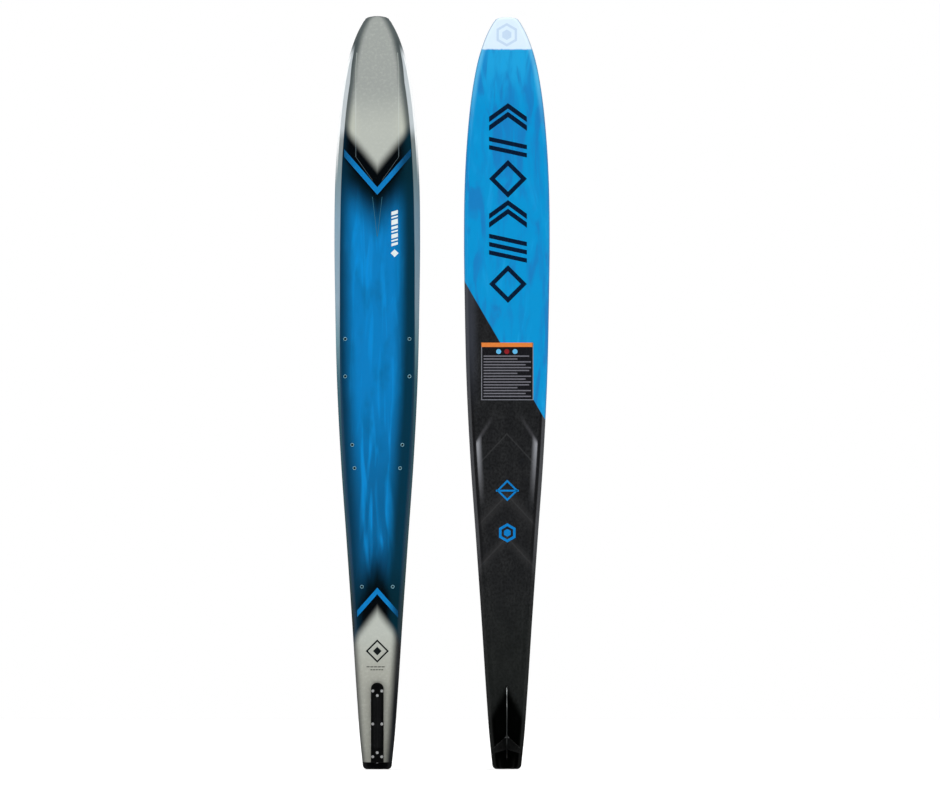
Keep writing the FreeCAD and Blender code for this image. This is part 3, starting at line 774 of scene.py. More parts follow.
def deck_field(finish, colours, spot, right):
    """The deck between its silver ends: streaked blue that fades to near black."""
    along, side = spot.along, spot.side
    streaks = finish.noise(finish.stretched(spot.map, 55, 5.5, 1), 1.0, 2.0, 0.45, 0.6)
    drift = finish.noise(finish.stretched(spot.map, 30, 5, 1), 1.0, 2.0, 0.5)
    cloud = finish.noise(finish.stretched(spot.map, 25, 9, 1), 1.0, 3.0, 0.55)
    rear = along.step(0.86, 0.56)
    deck_blue = finish.mix(rear, tuple(colours.deck_blue), ink(0, 96, 150))
    streak_share = streaks.step(0.48, 0.68) * 0.75
    deck_blue = finish.mix(streak_share, deck_blue, tuple(colours.deck_streak))
    deck_blue = finish.mix(cloud.step(0.45, 0.8) * 0.6, deck_blue, ink(0, 94, 142))

    # Dark in a V under the upper band, and in tongues towards the lower one.
    upper = along - side * 0.95 + (drift - 0.5) * 0.02
    tongue = along + side * 1.1 + (drift - 0.5) * 0.07
    light = upper.step(1.254, 1.138) * tongue.step(0.405, 0.532)
    # Painted shade: both fields darken towards the rim, deeper and wider on the right-hand side.
    depth = spot.rim - right * 0.013 + (cloud - 0.5) * 0.008
    deck_rim_shade = depth.step(0.010, 0.048)
    shaded_rim_blue = finish.mix(right, ink(1, 54, 82), ink(0, 50, 72))
    lit = finish.mix(deck_rim_shade, shaded_rim_blue, deck_blue)
    shaded_rim_dark = finish.mix(right, ink(0, 42, 62), ink(0, 40, 54))
    shade = finish.mix(deck_rim_shade, shaded_rim_dark, ink(0, 22, 32))
    field = finish.mix(light, shade, lit)
    band_edge = along - side * BAND_SLOPE
    beside_bands = band_edge.step(1.242, 1.262).most(tongue.step(0.425, 0.385))
    return finish.mix(beside_bands * depth.step(0.004, 0.030), field, tuple(colours.deck_dark))


def silver_lacquer(finish, colours, spot, weave):
    """Silver with a fine crossed weave, and a painted highlight towards the sides of the tip, for
    both ends of the deck.
    """
    along = spot.along
    mottle = finish.noise(finish.stretched(spot.map, 160, 160, 1), 1.0, 3.0, 0.6)
    tone = finish.mix(along.step(1.50, 1.40), tuple(colours.silver), ink(190, 195, 187))
    tone = finish.mix(along.step(0.32, 0.20), tone, ink(172, 173, 163))
    tone = finish.mix(weave.step(-0.5, 0.5) * 0.3, tone, ink(124, 129, 126))
    tone = finish.mix(mottle.step(0.45, 0.8) * 0.3, tone, ink(206, 210, 202))
    # Painted highlight: the silver is lighter towards the sides of the tip.
    painted_glow = spot.side.step(0.03, 0.062) * abs(along - 1.41).step(0.075, 0.0)
    return finish.mix(painted_glow * 0.45, tone, ink(200, 204, 186))


def bevel_lacquer(finish, colours, spot, right):
    """The bevel beside the deck: pale at the tip, steel blue, then dark to the tail."""
    stops = [
        (0.19, ink(24, 36, 38)),
        (0.25, ink(24, 56, 62)),
        (0.34, ink(32, 70, 84)),
        (0.46, ink(32, 78, 92)),
        (0.517, ink(52, 96, 110)),
        (0.57, ink(108, 144, 156)),
        (0.62, ink(138, 162, 178)),
        (0.73, tuple(colours.bevel_steel)),
        (0.79, ink(126, 146, 152)),
        (0.835, ink(142, 149, 149)),
        (0.85, tuple(colours.bevel_pale)),
    ]
    tone = finish.ramp(spot.along / LENGTH, stops)
    # Painted shade: the right-hand bevel is darker, except near the tip.
    tone = finish.mix(right * spot.along.step(1.42, 1.38) * 0.32, tone, ink(16, 56, 62))
    return finish.mix(spot.rise.step(0.004, 0.0005) * 0.15, tone, ink(20, 30, 36))


def deck_finish():
    """Clear lacquer over the deck's fades: silver ends, blue middle, dark between."""
    colours = bpy.context.scene.ski_colours
    finish = Finish("deck_lacquer")
    spot = HullSpot(finish)
    across, along, side, rim = spot.across, spot.along, spot.side, spot.rim
    # right is 1 on the right-hand side, where the painted shade of the deck, its bevel and the
    # tail rim is deeper.
    right = across.step(-0.005, 0.03)
    weave = (across + along).sine(4.2 * MM) * (across - along).sine(4.2 * MM)
    field = deck_field(finish, colours, spot, right)
    silver = silver_lacquer(finish, colours, spot, weave)

    nose = (along - 1.585).most(0)
    bevel_width = along.step(0.62, 1.30) * 0.0085 + 0.0048 - (along - 1.505).most(0) * 0.095
    inside = rim - bevel_width
    # Painted shade: the tip's silver darkens towards the rim, and a dark band fades inwards from
    # the bevel line.
    tip_shade_share = (rim + nose * 0.4).step(0.003, 0.021) * 0.7 + 0.3
    tip_silver = finish.mix(tip_shade_share, ink(50, 60, 63), silver)
    tip_shade_band = abs(inside - 0.002).step(0.017, 0.001)
    tip_silver = finish.mix(tip_shade_band * 0.85, tip_silver, ink(66, 76, 78))
    # Painted shade: the tail's silver darkens towards the rim, darker and wider on the right-hand
    # side.
    tail_shade_share = (rim - right * 0.008).step(-0.003, 0.017)
    tail_shade_tone = finish.mix(right, ink(58, 60, 60), ink(22, 24, 27))
    tail_silver = finish.mix(tail_shade_share, tail_shade_tone, silver)
    body = finish.mix(tip_field(along, side), field, tip_silver)
    body = finish.mix((along + side * 1.28).step(0.366, 0.328), body, tail_silver)

    on_bevel = inside.step(0.0008, -0.0008) * along.step(1.592, 1.560) * along.step(0.27, 0.33)
    body = finish.mix(on_bevel, body, bevel_lacquer(finish, colours, spot, right))
    # Painted glare: a white highlight along the rim towards the tip.
    glare = rim.step(0.0048, 0.0036) * along.step(1.27, 1.40) * along.step(1.582, 1.545)
    body = finish.mix(glare, body, ink(250, 253, 253))
    body = finish.mix(along.step(0.0165, 0.0145), body, ink(9, 10, 12))

    specks = finish.noise(finish.stretched(spot.map, 900, 900, 1), 1.0, 2.0, 0.6)
    gloss = finish.noise(finish.stretched(spot.map, 30, 6, 1), 1.0, 2.0)
    finish.bump(weave * 0.4 + specks * 0.6, 0.05, 0.0004)
    return finish.lacquered(body, gloss * 0.12 + 0.18)


def base_front(finish, colours, spot, streaks, wisps):
    """The front of the base: streaked blue with a nearly white tip."""
    along, rim = spot.along, spot.rim
    blue = finish.mix(along.step(1.44, 1.56) * 0.6, tuple(colours.base_blue), ink(36, 168, 224))
    blue = finish.mix(streaks.step(0.48, 0.64) * 0.75, blue, tuple(colours.base_streak))
    blue = finish.mix(wisps.step(0.50, 0.70) * 0.55, blue, ink(16, 130, 198))
    blue = finish.mix((1 - streaks).step(0.56, 0.72) * 0.6, blue, ink(20, 160, 222))
    # Painted highlight: the blue is paler near the rim towards the tip.
    rim_highlight = rim.step(0.014, 0.005) * along.step(1.36, 1.52)
    blue = finish.mix(rim_highlight * 0.5, blue, ink(104, 196, 236))
    haze = finish.noise(finish.stretched(spot.map, 30, 30, 1), 1.0, 2.0)
    white = finish.mix(haze * 0.3, tuple(colours.base_tip), ink(246, 250, 255))
    white_share = (along + (wisps - 0.5) * 0.004).step(1.577, 1.581)
    front = finish.mix(white_share, blue, white)
    return finish.mix(rim.step(0.0034, 0.0012) * 0.55, front, ink(70, 112, 146))


def base_carbon(finish, colours, spot, place, grain):
    """The rear of the base: black carbon with faint moulded lines and a hollow."""
    along, side, rim = spot.along, spot.side, spot.rim
    patches = finish.noise(finish.stretched(place, 38, 22, 1), 1.0, 3.0, 0.6)
    carbon_black = tuple(colours.base_carbon)
    carbon = finish.mix(patches.step(0.3, 0.75) * 0.7, carbon_black, ink(46, 47, 48))
    carbon = finish.mix(grain.step(0.38, 0.66) * 0.75, carbon, ink(17, 18, 19))
    carbon = finish.mix(along.step(0.50, 0.20) * 0.4, carbon, ink(26, 31, 26))

    # Moulded lines and pleats in the shape of arrow heads.
    pleat = along + side * 1.08
    lines = abs(pleat - 0.735).least(abs(pleat - 0.602)).least(abs(pleat - 0.508))
    carbon = finish.mix(lines.step(0.0035, 0.0005) * 0.3, carbon, ink(74, 75, 76))
    rear_pleat = pleat.step(0.48, 0.506) * pleat.step(0.53, 0.509)
    front_pleat = pleat.step(0.57, 0.60) * pleat.step(0.63, 0.603)
    carbon = finish.mix((rear_pleat + front_pleat) * 0.4, carbon, ink(54, 54, 55))
    # Painted highlight on the bevel along the rim, and a painted shade line just inside it.
    edged = along.step(0.40, 0.52)
    carbon = finish.mix(rim.step(0.0088, 0.0064) * edged * 0.9, carbon, ink(70, 71, 74))
    bevel_shade_line = abs(rim - 0.0108).step(0.0042, 0.001)
    carbon = finish.mix(bevel_shade_line * edged * 0.7, carbon, ink(20, 20, 22))

    # The hollow that starts behind the bindings gets painted highlights along its sides, a faint
    # painted arc at its front and a painted sheen near the rim ahead of it.
    front_edge = along - rim * 1.4
    inner = rim.step(0.0135, 0.0165) * rim.step(0.029, 0.0165)
    shine = inner * front_edge.step(0.701, 0.690) * along.step(0.56, 0.80) * 1.3
    carbon = finish.mix(shine, carbon, ink(152, 154, 160))
    front_arc_shine = abs(front_edge - 0.695).step(0.011, 0.0) * rim.step(0.014, 0.02) * rim.step(0.065, 0.03)
    carbon = finish.mix(front_arc_shine * 0.45, carbon, ink(78, 78, 82))
    sheen = along.step(0.76, 0.96) * rim.step(0.034, 0.012)
    carbon = finish.mix(sheen * 0.6, carbon, ink(64, 68, 78))

    # Painted shadow: black around the fin, with a thin painted glint on the rim.
    outside_fin_shadow = (along + side * 1.83).step(0.160, 0.195)
    carbon = finish.mix(outside_fin_shadow, ink(1, 2, 1), carbon)
    glint = (1 - outside_fin_shadow) * rim.step(0.012, 0.005) * along.step(0.03, 0.06)
    return finish.mix(glint * 0.8, carbon, ink(20, 22, 21))


def base_finish():
    """Streaked blue ahead of a slanting line, and moulded black carbon behind it."""
    colours = bpy.context.scene.ski_colours
    finish = Finish("base_lacquer")
    spot = HullSpot(finish)
    place = finish.shifted(spot.map, 0.37, 0.11, 0.2)
    streaks = finish.noise(finish.stretched(place, 34, 7, 1), 1.0, 3.0, 0.5, 0.9)
    wisps = finish.noise(finish.stretched(place, 70, 12, 1), 1.0, 2.0, 0.5, 0.6)
    grain = finish.noise(finish.stretched(spot.map, 220, 160, 1), 1.0, 4.0, 0.65)
    front = base_front(finish, colours, spot, streaks, wisps)
    carbon = base_carbon(finish, colours, spot, place, grain)
    share = (spot.along - spot.across * 1.7176).step(0.9087, 0.9117)
    finish.bump(grain * (1 - share) + streaks * 0.2, 0.06, 0.0004)
    roughness = grain * 0.1 + (1 - share) * 0.1 + 0.16
    return finish.lacquered(finish.mix(share, carbon, front), roughness)


def film_finish(name, swatch, shade_ends=None, roughness=0.22):
    """Printed colour, a little uneven; painted shade may darken it sideways, sooner on the right.
    """
    finish = Finish(name)
    spot, across = finish.mapped("ski")[:2]
    mottle = finish.noise(finish.stretched(spot, 220, 90, 1), 1.0, 3.0, 0.6)
    darker = (swatch[0] * 0.82, swatch[1] * 0.86, swatch[2] * 0.9, 1.0)
    tone = finish.mix((mottle - 0.35) * 0.6, swatch, darker)
    if shade_ends:
        inner, outer = shade_ends
        # Painted shade towards the ends, sooner on the right-hand side.
        fade = (across + abs(across) * 0.15).step(inner, outer)
        fade = fade.most(abs(across).step(inner * 1.25, outer * 1.2))
        tone = finish.mix(fade * 0.8, tone, ink(2, 40, 66))
    finish.bump(mottle, 0.04, 0.0003)
    return finish.lacquered(tone, mottle * 0.1 + roughness)


def ridge_finish():
    """Lacquer of the raised lines: pale on the silver as a painted highlight, dim on the dark."""
    finish = Finish("ridge_lacquer")
    spot, across, along = finish.mapped("ski")
    mottle = finish.noise(finish.stretched(spot, 220, 90, 1), 1.0, 3.0, 0.6)
    on_silver = tip_field(along, abs(across))
    tone = finish.mix(along.step(1.262, 1.272), ink(36, 104, 128), ink(72, 84, 88))
    # Painted highlight: the raised lines are pale where they cross the silver.
    tone = finish.mix(on_silver, tone, ink(202, 208, 202))
    tone = finish.mix(along.step(1.44, 1.53), tone, ink(160, 166, 161))
    tone = finish.mix(mottle * 0.2, tone, ink(100, 116, 120))
    return finish.set(Base_Color=tone, Roughness=mottle * 0.1 + 0.2, Coat_Weight=0.1)


def metal_finish(name, swatch, metallic, roughness, grain, wear=0.25, mouth=None):
    """Metal with a directional grain, lighter along it and darker in patches. A bore
    has painted shade below its mouth, a height over the base plane."""
    finish = Finish(name)
    spot = finish.place()
    lines = finish.noise(finish.stretched(spot, *grain), 1.0, 3.0, 0.6)
    patches = finish.noise(finish.stretched(spot, 140, 140, 90), 1.0, 3.0, 0.6)
    lighter = tuple(min(1.0, part * 1.5 + 0.03) for part in swatch[:3])
    tone = finish.mix(lines.step(0.3, 0.8) * wear, swatch, (*lighter, 1.0))
    darker = tuple(part * 0.75 for part in swatch[:3])
    tone = finish.mix(patches.step(0.45, 0.8) * wear, tone, (*darker, 1.0))
    # Painted shade inside the bore, below its mouth.
    if mouth:
        height = abs(finish.parts(spot)[1])
        tone = finish.mix(height.step(mouth - 0.4 * MM, mouth - 1.4 * MM), tone, ink(6, 10, 14))
    finish.bump(lines, 0.12, 0.0003)
    return finish.set(
        Base_Color=tone,
        Metallic=metallic,
        Roughness=lines * 0.14 + patches * 0.08 + roughness - 0.1,
    )


def fin_finish():
    """Brushed aluminium, with a painted highlight at its leading edge and painted shade behind the
    wing.
    """
    finish = Finish("fin_aluminium")
    spot = finish.place()
    along = finish.parts(spot)[2]
    lines = finish.noise(finish.stretched(spot, 40, 40, 1600), 1.0, 3.0, 0.6)
    patches = finish.noise(finish.stretched(spot, 140, 140, 90), 1.0, 3.0, 0.6)
    tone = finish.mix(lines.step(0.3, 0.8) * 0.4, ink(66, 70, 70), ink(104, 108, 108))
    tone = finish.mix(patches.step(0.45, 0.8) * 0.3, tone, ink(50, 52, 52))
    # Painted highlight along the leading edge.
    tone = finish.mix(along.step(0.158, 0.172), tone, ink(196, 202, 202))
    # Painted shade behind the wing, towards the tail.
    tone = finish.mix(along.step(0.060, 0.050) * 0.85, tone, ink(9, 10, 10))
    finish.bump(lines, 0.12, 0.0003)
    return finish.set(Base_Color=tone, Metallic=0.5, Roughness=lines * 0.14 + 0.26)


def block_finish():
    """Black anodised bar with fine milled grooves along its top."""
    finish = Finish("fin_block_anodised")
    spot = finish.place()
    across, along = finish.parts(spot)[::2]
    from_left = abs(across + ROW)
    from_right = abs(across - ROW)
    middle = from_left.least(from_right)
    grooves = middle.sine(2.6 * MM).step(-0.2, 0.9) * middle.step(8.6 * MM, 8.2 * MM)
    grooves = grooves * along.step(0.046, 0.048) * along.step(0.158, 0.156)
    grain = finish.noise(finish.stretched(spot, 1500, 1500, 60), 1.0, 3.0, 0.6)
    scuffs = finish.noise(finish.stretched(spot, 220, 220, 60), 1.0, 4.0, 0.7)
    tone = finish.mix(grain.step(0.35, 0.8) * 0.5, ink(9, 10, 11), ink(26, 27, 28))
    tone = finish.mix(grooves * 0.5, tone, ink(44, 46, 48))
    tone = finish.mix(scuffs.step(0.58, 0.8) * 0.35, tone, ink(74, 76, 80))
    finish.bump(grooves * 1.0 + grain * 0.15, 0.35, 0.0005)
    return finish.set(
        Base_Color=tone,
        Metallic=0.55,
        Roughness=grain * 0.2 + 0.26,
    )


def core_finish(name, light, dark, stretch):
    """Wood strips or pressed plate inside the hull."""
    finish = Finish(name)
    spot = finish.place()
    grain = finish.noise(finish.stretched(spot, *stretch), 1.0, 4.0, 0.6, 0.4)
    tone = finish.mix(grain.step(0.35, 0.7), light, dark)
    finish.bump(grain, 0.2, 0.0005)
    return finish.set(Base_Color=tone, Roughness=grain * 0.2 + 0.55)


# ---- operators ----------------------------------------------------------------


def hull_cutter(holes, radius, low, high):
    """Rods for the insert holes and a bar for the fin slot, to take out of a shell."""
    bm = bmesh.new()
    for across, along in holes:
        rod = bmesh.ops.create_cone(
            bm, cap_ends=True, segments=40, radius1=radius, radius2=radius, depth=high - low
        )
        bmesh.ops.translate(bm, verts=rod["verts"], vec=(across, along, (low + high) / 2))
    left, right, rear, front = slot_edges()
    bar = bmesh.ops.create_cube(bm, size=1)
    bmesh.ops.scale(bm, verts=bar["verts"], vec=(right - left, front - rear, high - low))
    centre = ((left + right) / 2, (rear + front) / 2, (low + high) / 2)
    bmesh.ops.translate(bm, verts=bar["verts"], vec=centre)
    return to_mesh(bm, "cutter")


def slot_edges():
    """The fin's slot through the hull: beside the fin, and ahead of and behind it."""
    low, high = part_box("left_fin")
    left, right = low.x + ROW - 0.4 * MM, high.x + ROW + 0.1 * MM
    return left, right, low.z - 1.5 * MM, high.z + 3.5 * MM


class WATERSKI_OT_deck_shells(bpy.types.Operator):
    """Lacquered deck of each ski, with its insert holes and fin slot"""

    bl_idname = "water_ski.deck_shells"
    bl_label = "Deck Shells"

    def execute(self, context):
        mesh = shell_mesh("deck_shell", deck_half, True)
        holes = [centre for group in INSERT_GROUPS for centre in solid_centres(f"left_{group}")]
        cutter = hull_cutter(holes, 4.05 * MM, DECK - 8 * MM, DECK + 8 * MM)
        mesh = smooth(carved(mesh, cutter))
        place_pair("deck_shell", mesh, [deck_finish()], replaces=["deck_skin"])
        return {"FINISHED"}


class WATERSKI_OT_base_shells(bpy.types.Operator):
    """Base of each ski, with its tunnel and fin slot"""

    bl_idname = "water_ski.base_shells"
    bl_label = "Base Shells"

    def execute(self, context):
        mesh = shell_mesh("base_shell", base_half, False)
        cutter = hull_cutter([], 0, -5 * MM, DECK - 3 * MM)
        mesh = smooth(carved(mesh, cutter))
        place_pair("base_shell", mesh, [base_finish()], replaces=["base_skin"])
        return {"FINISHED"}


class WATERSKI_OT_deck_bands(bpy.types.Operator):
    """The two blue chevrons across the deck"""

    bl_idname = "water_ski.deck_bands"
    bl_label = "Deck Bands"

    def execute(self, context):
        band = tuple(context.scene.ski_colours.band)
        # The last pair in each row is where painted shade darkens the band towards its ends.
        bands = (
            ("upper_band", chevron(1.2755, BAND_SLOPE, 0.0725, 0.0735, 0.0165), (0.030, 0.075)),
            ("lower_band", chevron(0.398, -1.13, 0.0475, 0.0455, 0.0145), (0.024, 0.052)),
        )
        for name, shapes, shade_ends in bands:
            print_pair(name, shapes, deck_half, film_finish(f"{name}_ink", band, shade_ends))
        return {"FINISHED"}


class WATERSKI_OT_deck_ridges(bpy.types.Operator):
    """Raised moulding lines on the tip, and the thin wedge behind the upper band"""

    bl_idname = "water_ski.deck_ridges"
    bl_label = "Deck Ridges"

    def execute(self, context):
        panel = [(0.0445, 1.570), (0.047, 1.535), (0.047, 1.342), (0.0105, 1.2905)]
        wedge = [(0.0105, 1.2545), (0.0005, 1.168)]
        wide, fine = 1.8 * MM, 1.0 * MM
        stretches = [*zip(panel, panel[1:]), *zip(wedge, wedge[1:])]
        shapes = []
        for way in (-1, 1):
            for (x0, y0), (x1, y1) in stretches:
                width = fine if y1 < panel[2][1] else wide
                side = Vector((y1 - y0, x0 - x1)).normalized() * width / 2
                corners = [
                    (way * (x0 - side.x), y0 - side.y),
                    (way * (x0 + side.x), y0 + side.y),
                    (way * (x1 + side.x), y1 + side.y),
                    (way * (x1 - side.x), y1 - side.y),
                ]
                shapes.append(corners)
        print_pair("ridge_lines", shapes, deck_half, ridge_finish(), lift=0.22 * MM)
        return {"FINISHED"}


class WATERSKI_OT_deck_marks(bpy.types.Operator):
    """Plain white and black marks on the deck, in place of any lettering"""

    bl_idname = "water_ski.deck_marks"
    bl_label = "Deck Marks"

    def execute(self, context):
        left, right = 0.031, 0.045
        gap, slant = 0.0036, 0.004
        shapes = [many_sided((left + right) / 2, 1.131, 0.0085, 4)]
        along = 1.146
        for height in (0.006, 0.0035, 0.009, 0.0035, 0.006, 0.011, 0.0035, 0.008):
            shapes.append(bar_shape(left, right, along, along + height, slant))
            along += height + gap
        white = film_finish("white_mark_ink", ink(226, 236, 236))
        print_pair("white_mark", shapes, deck_half, white)

        along = 0.259
        shapes = ring_shapes(0, along, 0.0255, 0.005, 4)
        shapes.append(many_sided(0, along, 0.0095, 4))
        black = film_finish("black_mark_ink", ink(22, 26, 28))
        print_pair("tail_mark", shapes, deck_half, black)

        dashes = []
        for level, half, dash in ((0.2235, 0.0235, 0.0068), (0.2170, 0.015, 0.0045)):
            start = -half
            while start < half - dash:
                dashes.append(bar_shape(start, start + dash, level, level + 0.002))
                start += dash + 0.0014
        faint = film_finish("dash_mark_ink", ink(66, 68, 64))
        print_pair("tail_dashes", dashes, deck_half, faint)
        return {"FINISHED"}


def column_shapes():
    """Bold shapes up the base: arrow heads, open diamonds and slanting bars."""
    stroke = 0.0095
    left, right = -0.044, 0.039
    middle = (left + right) / 2
    reach = (right - left) / 2
    gap = 0.013
    shapes = []

    def arrows(low, count):
        rise = 0.030
        tall = stroke * 1.25
        for step in range(count):
            foot = low + step * stroke * 2
            head = foot + rise
            for end in (left, right):
                ends = [(end, foot), (end, foot + tall)]
                shapes.append([(middle, head), *ends, (middle, head + tall)])
        return low + rise + stroke * (2 * count - 0.75)

    def bars(low, count):
        slant = 0.018
        for step in range(count):
            foot = low + step * stroke * 1.9
            shapes.append(bar_shape(left, right, foot, foot + stroke, slant))
        return low + slant + stroke * (1.9 * count - 0.9)

    def diamond(low):
        shapes.extend(ring_shapes(middle, low + reach, reach, stroke * 1.4, 4))
        return low + 2 * reach

    along = 1.022
    along = diamond(along) + gap * 0.4
    along = bars(along, 3) + gap
    along = arrows(along, 2) + gap * 0.4
    along = diamond(along) + gap * 0.4
    along = bars(along, 2) + gap
    arrows(along, 2)
    return shapes


class WATERSKI_OT_base_graphic(bpy.types.Operator):
    """Bold navy column on the blue of the base, with a pale mark on its tip"""

    bl_idname = "water_ski.base_graphic"
    bl_label = "Base Graphic"

    def execute(self, context):
        navy = film_finish("navy_ink", tuple(context.scene.ski_colours.navy))
        print_pair("base_column", column_shapes(), base_half, navy)
        along = 1.611
        shapes = ring_shapes(0, along, 0.026, 0.006, 6, 30)
        shapes.append(many_sided(0, along, 0.0115, 6, 30))
        pale = film_finish("tip_mark_ink", ink(196, 218, 240))
        print_pair("tip_mark", shapes, base_half, pale)
        return {"FINISHED"}


class WATERSKI_OT_base_plate(bpy.types.Operator):
    """Blank data plate on the base: head band, three dots and rows of plain bars"""

    bl_idname = "water_ski.base_plate"
    bl_label = "Base Plate"

    def execute(self, context):
        left, right, low, high = -0.058, 0.056, 0.809, 0.935
        border = 0.0016
        head = 0.0095
        margin, row_height, row_pitch = 0.005, 0.0026, 0.0063
        dot_level, dot_radius, dot_reach = high - 0.0195, 0.0055, 0.018
        face = [bar_shape(left + border, right - border, low + border, high - head)]
        frame_bars = [
            bar_shape(left, left + border, low, high),
            bar_shape(right - border, right, low, high),
            bar_shape(left + border, right - border, low, low + border),
        ]
        rows = []
        level = low + 0.007
        for step in range(15):
            short = (0.0, 0.012, 0.0, 0.030, 0.004)[step % 5]
            start, end = left + margin + short, right - margin
            rows.append(bar_shape(start, end, level, level + row_height))
            level += row_pitch
        dots = [many_sided(way * dot_reach, dot_level, dot_radius, 20) for way in (-1, 1)]
        red = [many_sided(0, dot_level, dot_radius, 20)]
        orange = tuple(context.scene.ski_colours.orange)
        parts = (
            ("plate_face", face, ink(26, 26, 30), 0.10),
            ("plate_border", frame_bars, ink(128, 130, 138), 0.14),
            ("plate_head", [bar_shape(left, right, high - head, high)], orange, 0.14),
            ("plate_rows", rows, ink(112, 112, 120), 0.14),
            ("plate_dots", dots, ink(96, 180, 226), 0.14),
            ("plate_red_dot", red, ink(140, 30, 36), 0.14),
        )
        for name, shapes, swatch, lift in parts:
            finish = film_finish(f"{name}_ink", swatch)
            print_pair(name, shapes, base_half, finish, lift=lift * MM)
        return {"FINISHED"}


class WATERSKI_OT_base_marks(bpy.types.Operator):
    """Two small blue marks on the black of the base"""

    bl_idname = "water_ski.base_marks"
    bl_label = "Base Marks"

    def execute(self, context):
        across, upper, lower = -0.001, 0.611, 0.518
        shapes = ring_shapes(across, upper, 0.0235, 0.0055, 4)
        shapes.append(bar_shape(-0.026, 0.024, 0.6085, 0.6125))
        shapes += ring_shapes(across, lower, 0.021, 0.0065, 6, 30)
        shapes.append(many_sided(across, lower, 0.0085, 6, 30))
        print_pair("base_marks", shapes, base_half, film_finish("blue_mark_ink", ink(0, 122, 196)))
        return {"FINISHED"}


class WATERSKI_OT_inserts(bpy.types.Operator):
    """Threaded rings for the bindings, flush in the deck"""

    bl_idname = "water_ski.inserts"
    bl_label = "Inserts"

    def execute(self, context):
        pale = ink(132, 182, 198)
        steel = metal_finish("insert_steel", pale, 0.35, 0.3, (900, 900, 120), mouth=DECK)
        outer, bore, root = 4.0 * MM, 2.5 * MM, 2.95 * MM
        top = DECK + 0.18 * MM
        floor = DECK - 9.5 * MM
        turns = 8
        pitch = 1.0 * MM
        foot = DECK - 10.8 * MM
        ease_edge = 0.25 * MM
        profile = [(0, foot), (outer, foot)]
        profile += [(outer, top - ease_edge), (outer - ease_edge, top)]
        profile += [(root + 0.2 * MM, top), (bore, top - 0.7 * MM)]
        level = top - 0.9 * MM
        for step in range(turns):
            profile.append((root, level - pitch * (step + 0.5)))
            profile.append((bore, level - pitch * (step + 1)))
        profile += [(bore, floor), (0, floor - 0.4 * MM)]
        for group in INSERT_GROUPS:
            mesh = turned(profile, solid_centres(f"left_{group}"))
            place_pair(f"{group}_rings", mesh, [steel], replaces=[group])
        return {"FINISHED"}


class WATERSKI_OT_fin_box(bpy.types.Operator):
    """Fin block, its screws and its adjusters, with eased edges"""

    bl_idname = "water_ski.fin_box"
    bl_label = "Fin Box"

    def execute(self, context):
        steel = metal_finish("screw_steel", ink(198, 200, 200), 0.35, 0.26, (1200, 1200, 300))
        black = block_finish()
        mesh = eased_copy("left_fin_block", 0.35 * MM, 3)
        place_pair("block_body", mesh, [black], replaces=["fin_block"])
        fittings = (
            ("mounting_screws", "ski"),
            ("clamp_bolts", "ski"),
            ("front_depth_screw", "front_depth_screw"),
            ("rear_depth_screw", "rear_depth_screw"),
        )
        for node, part in fittings:
            mesh = eased_copy(f"left_{node}", 0.22 * MM)
            place_pair(f"{node}_eased", mesh, [steel], part, [node])
        return {"FINISHED"}


class WATERSKI_OT_fins(bpy.types.Operator):
    """Fin blade and the two halves of its wing, with eased edges"""

    bl_idname = "water_ski.fins"
    bl_label = "Fins and Wings"

    def execute(self, context):
        blade = fin_finish()
        mesh = eased_copy("left_fin", 0.3 * MM)
        place_pair("fin_blade", mesh, [blade], "fin", ["fin"])
        dark = metal_finish("wing_anodised", ink(6, 8, 8), 0.3, 0.3, (900, 900, 60), 0.4)
        for side in ("wing_port", "wing_starboard"):
            mesh = eased_copy(f"left_{side}", 0.3 * MM)
            place_pair(f"{side}_blade", mesh, [dark], "wing", [side])
        steel = metal_finish("wing_steel", ink(84, 88, 88), 0.6, 0.3, (1200, 300, 1200))
        for node in ("wing_screws", "wing_nuts"):
            mesh = eased_copy(f"left_{node}", 0.15 * MM)
            place_pair(f"{node}_eased", mesh, [steel], "wing", [node])
        return {"FINISHED"}


class WATERSKI_OT_inner_finishes(bpy.types.Operator):
    """Finishes of the pieces that keep the CAD shapes"""

    bl_idname = "water_ski.inner_finishes"
    bl_label = "Inner Finishes"

    def execute(self, context):
        wood = core_finish("core_wood", ink(216, 196, 150), ink(176, 146, 98), (60, 90, 6))
        plate = core_finish("pressed_plate", ink(74, 74, 66), ink(44, 44, 40), (300, 300, 40))
        steel = metal_finish("pin_steel", ink(200, 202, 206), 1.0, 0.28, (1200, 1200, 300))
        brass = metal_finish("nut_brass", ink(196, 160, 88), 1.0, 0.32, (900, 900, 200))
        black = metal_finish("bar_anodised", ink(28, 29, 32), 0.6, 0.36, (900, 900, 60))
        finishes = {
            "core": wood,
            "binding_reinforcement": plate,
            "fin_reinforcement": plate,
            "clamp_bar": black,
            "front_screw_clip": steel,
            "rear_screw_clip": steel,
            "depth_nuts": brass,
            "depth_pins": steel,
            "front_travel_screw": steel,
            "rear_travel_screw": steel,
        }
        for prefix in PREFIXES:
            for node, finish in finishes.items():
                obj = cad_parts[f"{prefix}_{node}"]
                for slot in obj.material_slots:
                    slot.material = finish
        return {"FINISHED"}


def lamp(name, place, width, height, power):
    """A soft lamp that faces the middle of the skis and stays out of the view."""
    data = bpy.data.lights.new(name, "AREA")
    data.shape = "RECTANGLE"
    data.size = width
    data.size_y = height
    data.energy = power
    made = bpy.data.objects.new(name, data)
    bpy.context.scene.collection.objects.link(made)
    made.location = place
    aim = Vector((0, 0, LENGTH / 2)) - made.location
    made.rotation_euler = aim.to_track_quat("-Z", "Y").to_euler()
    made.visible_camera = False


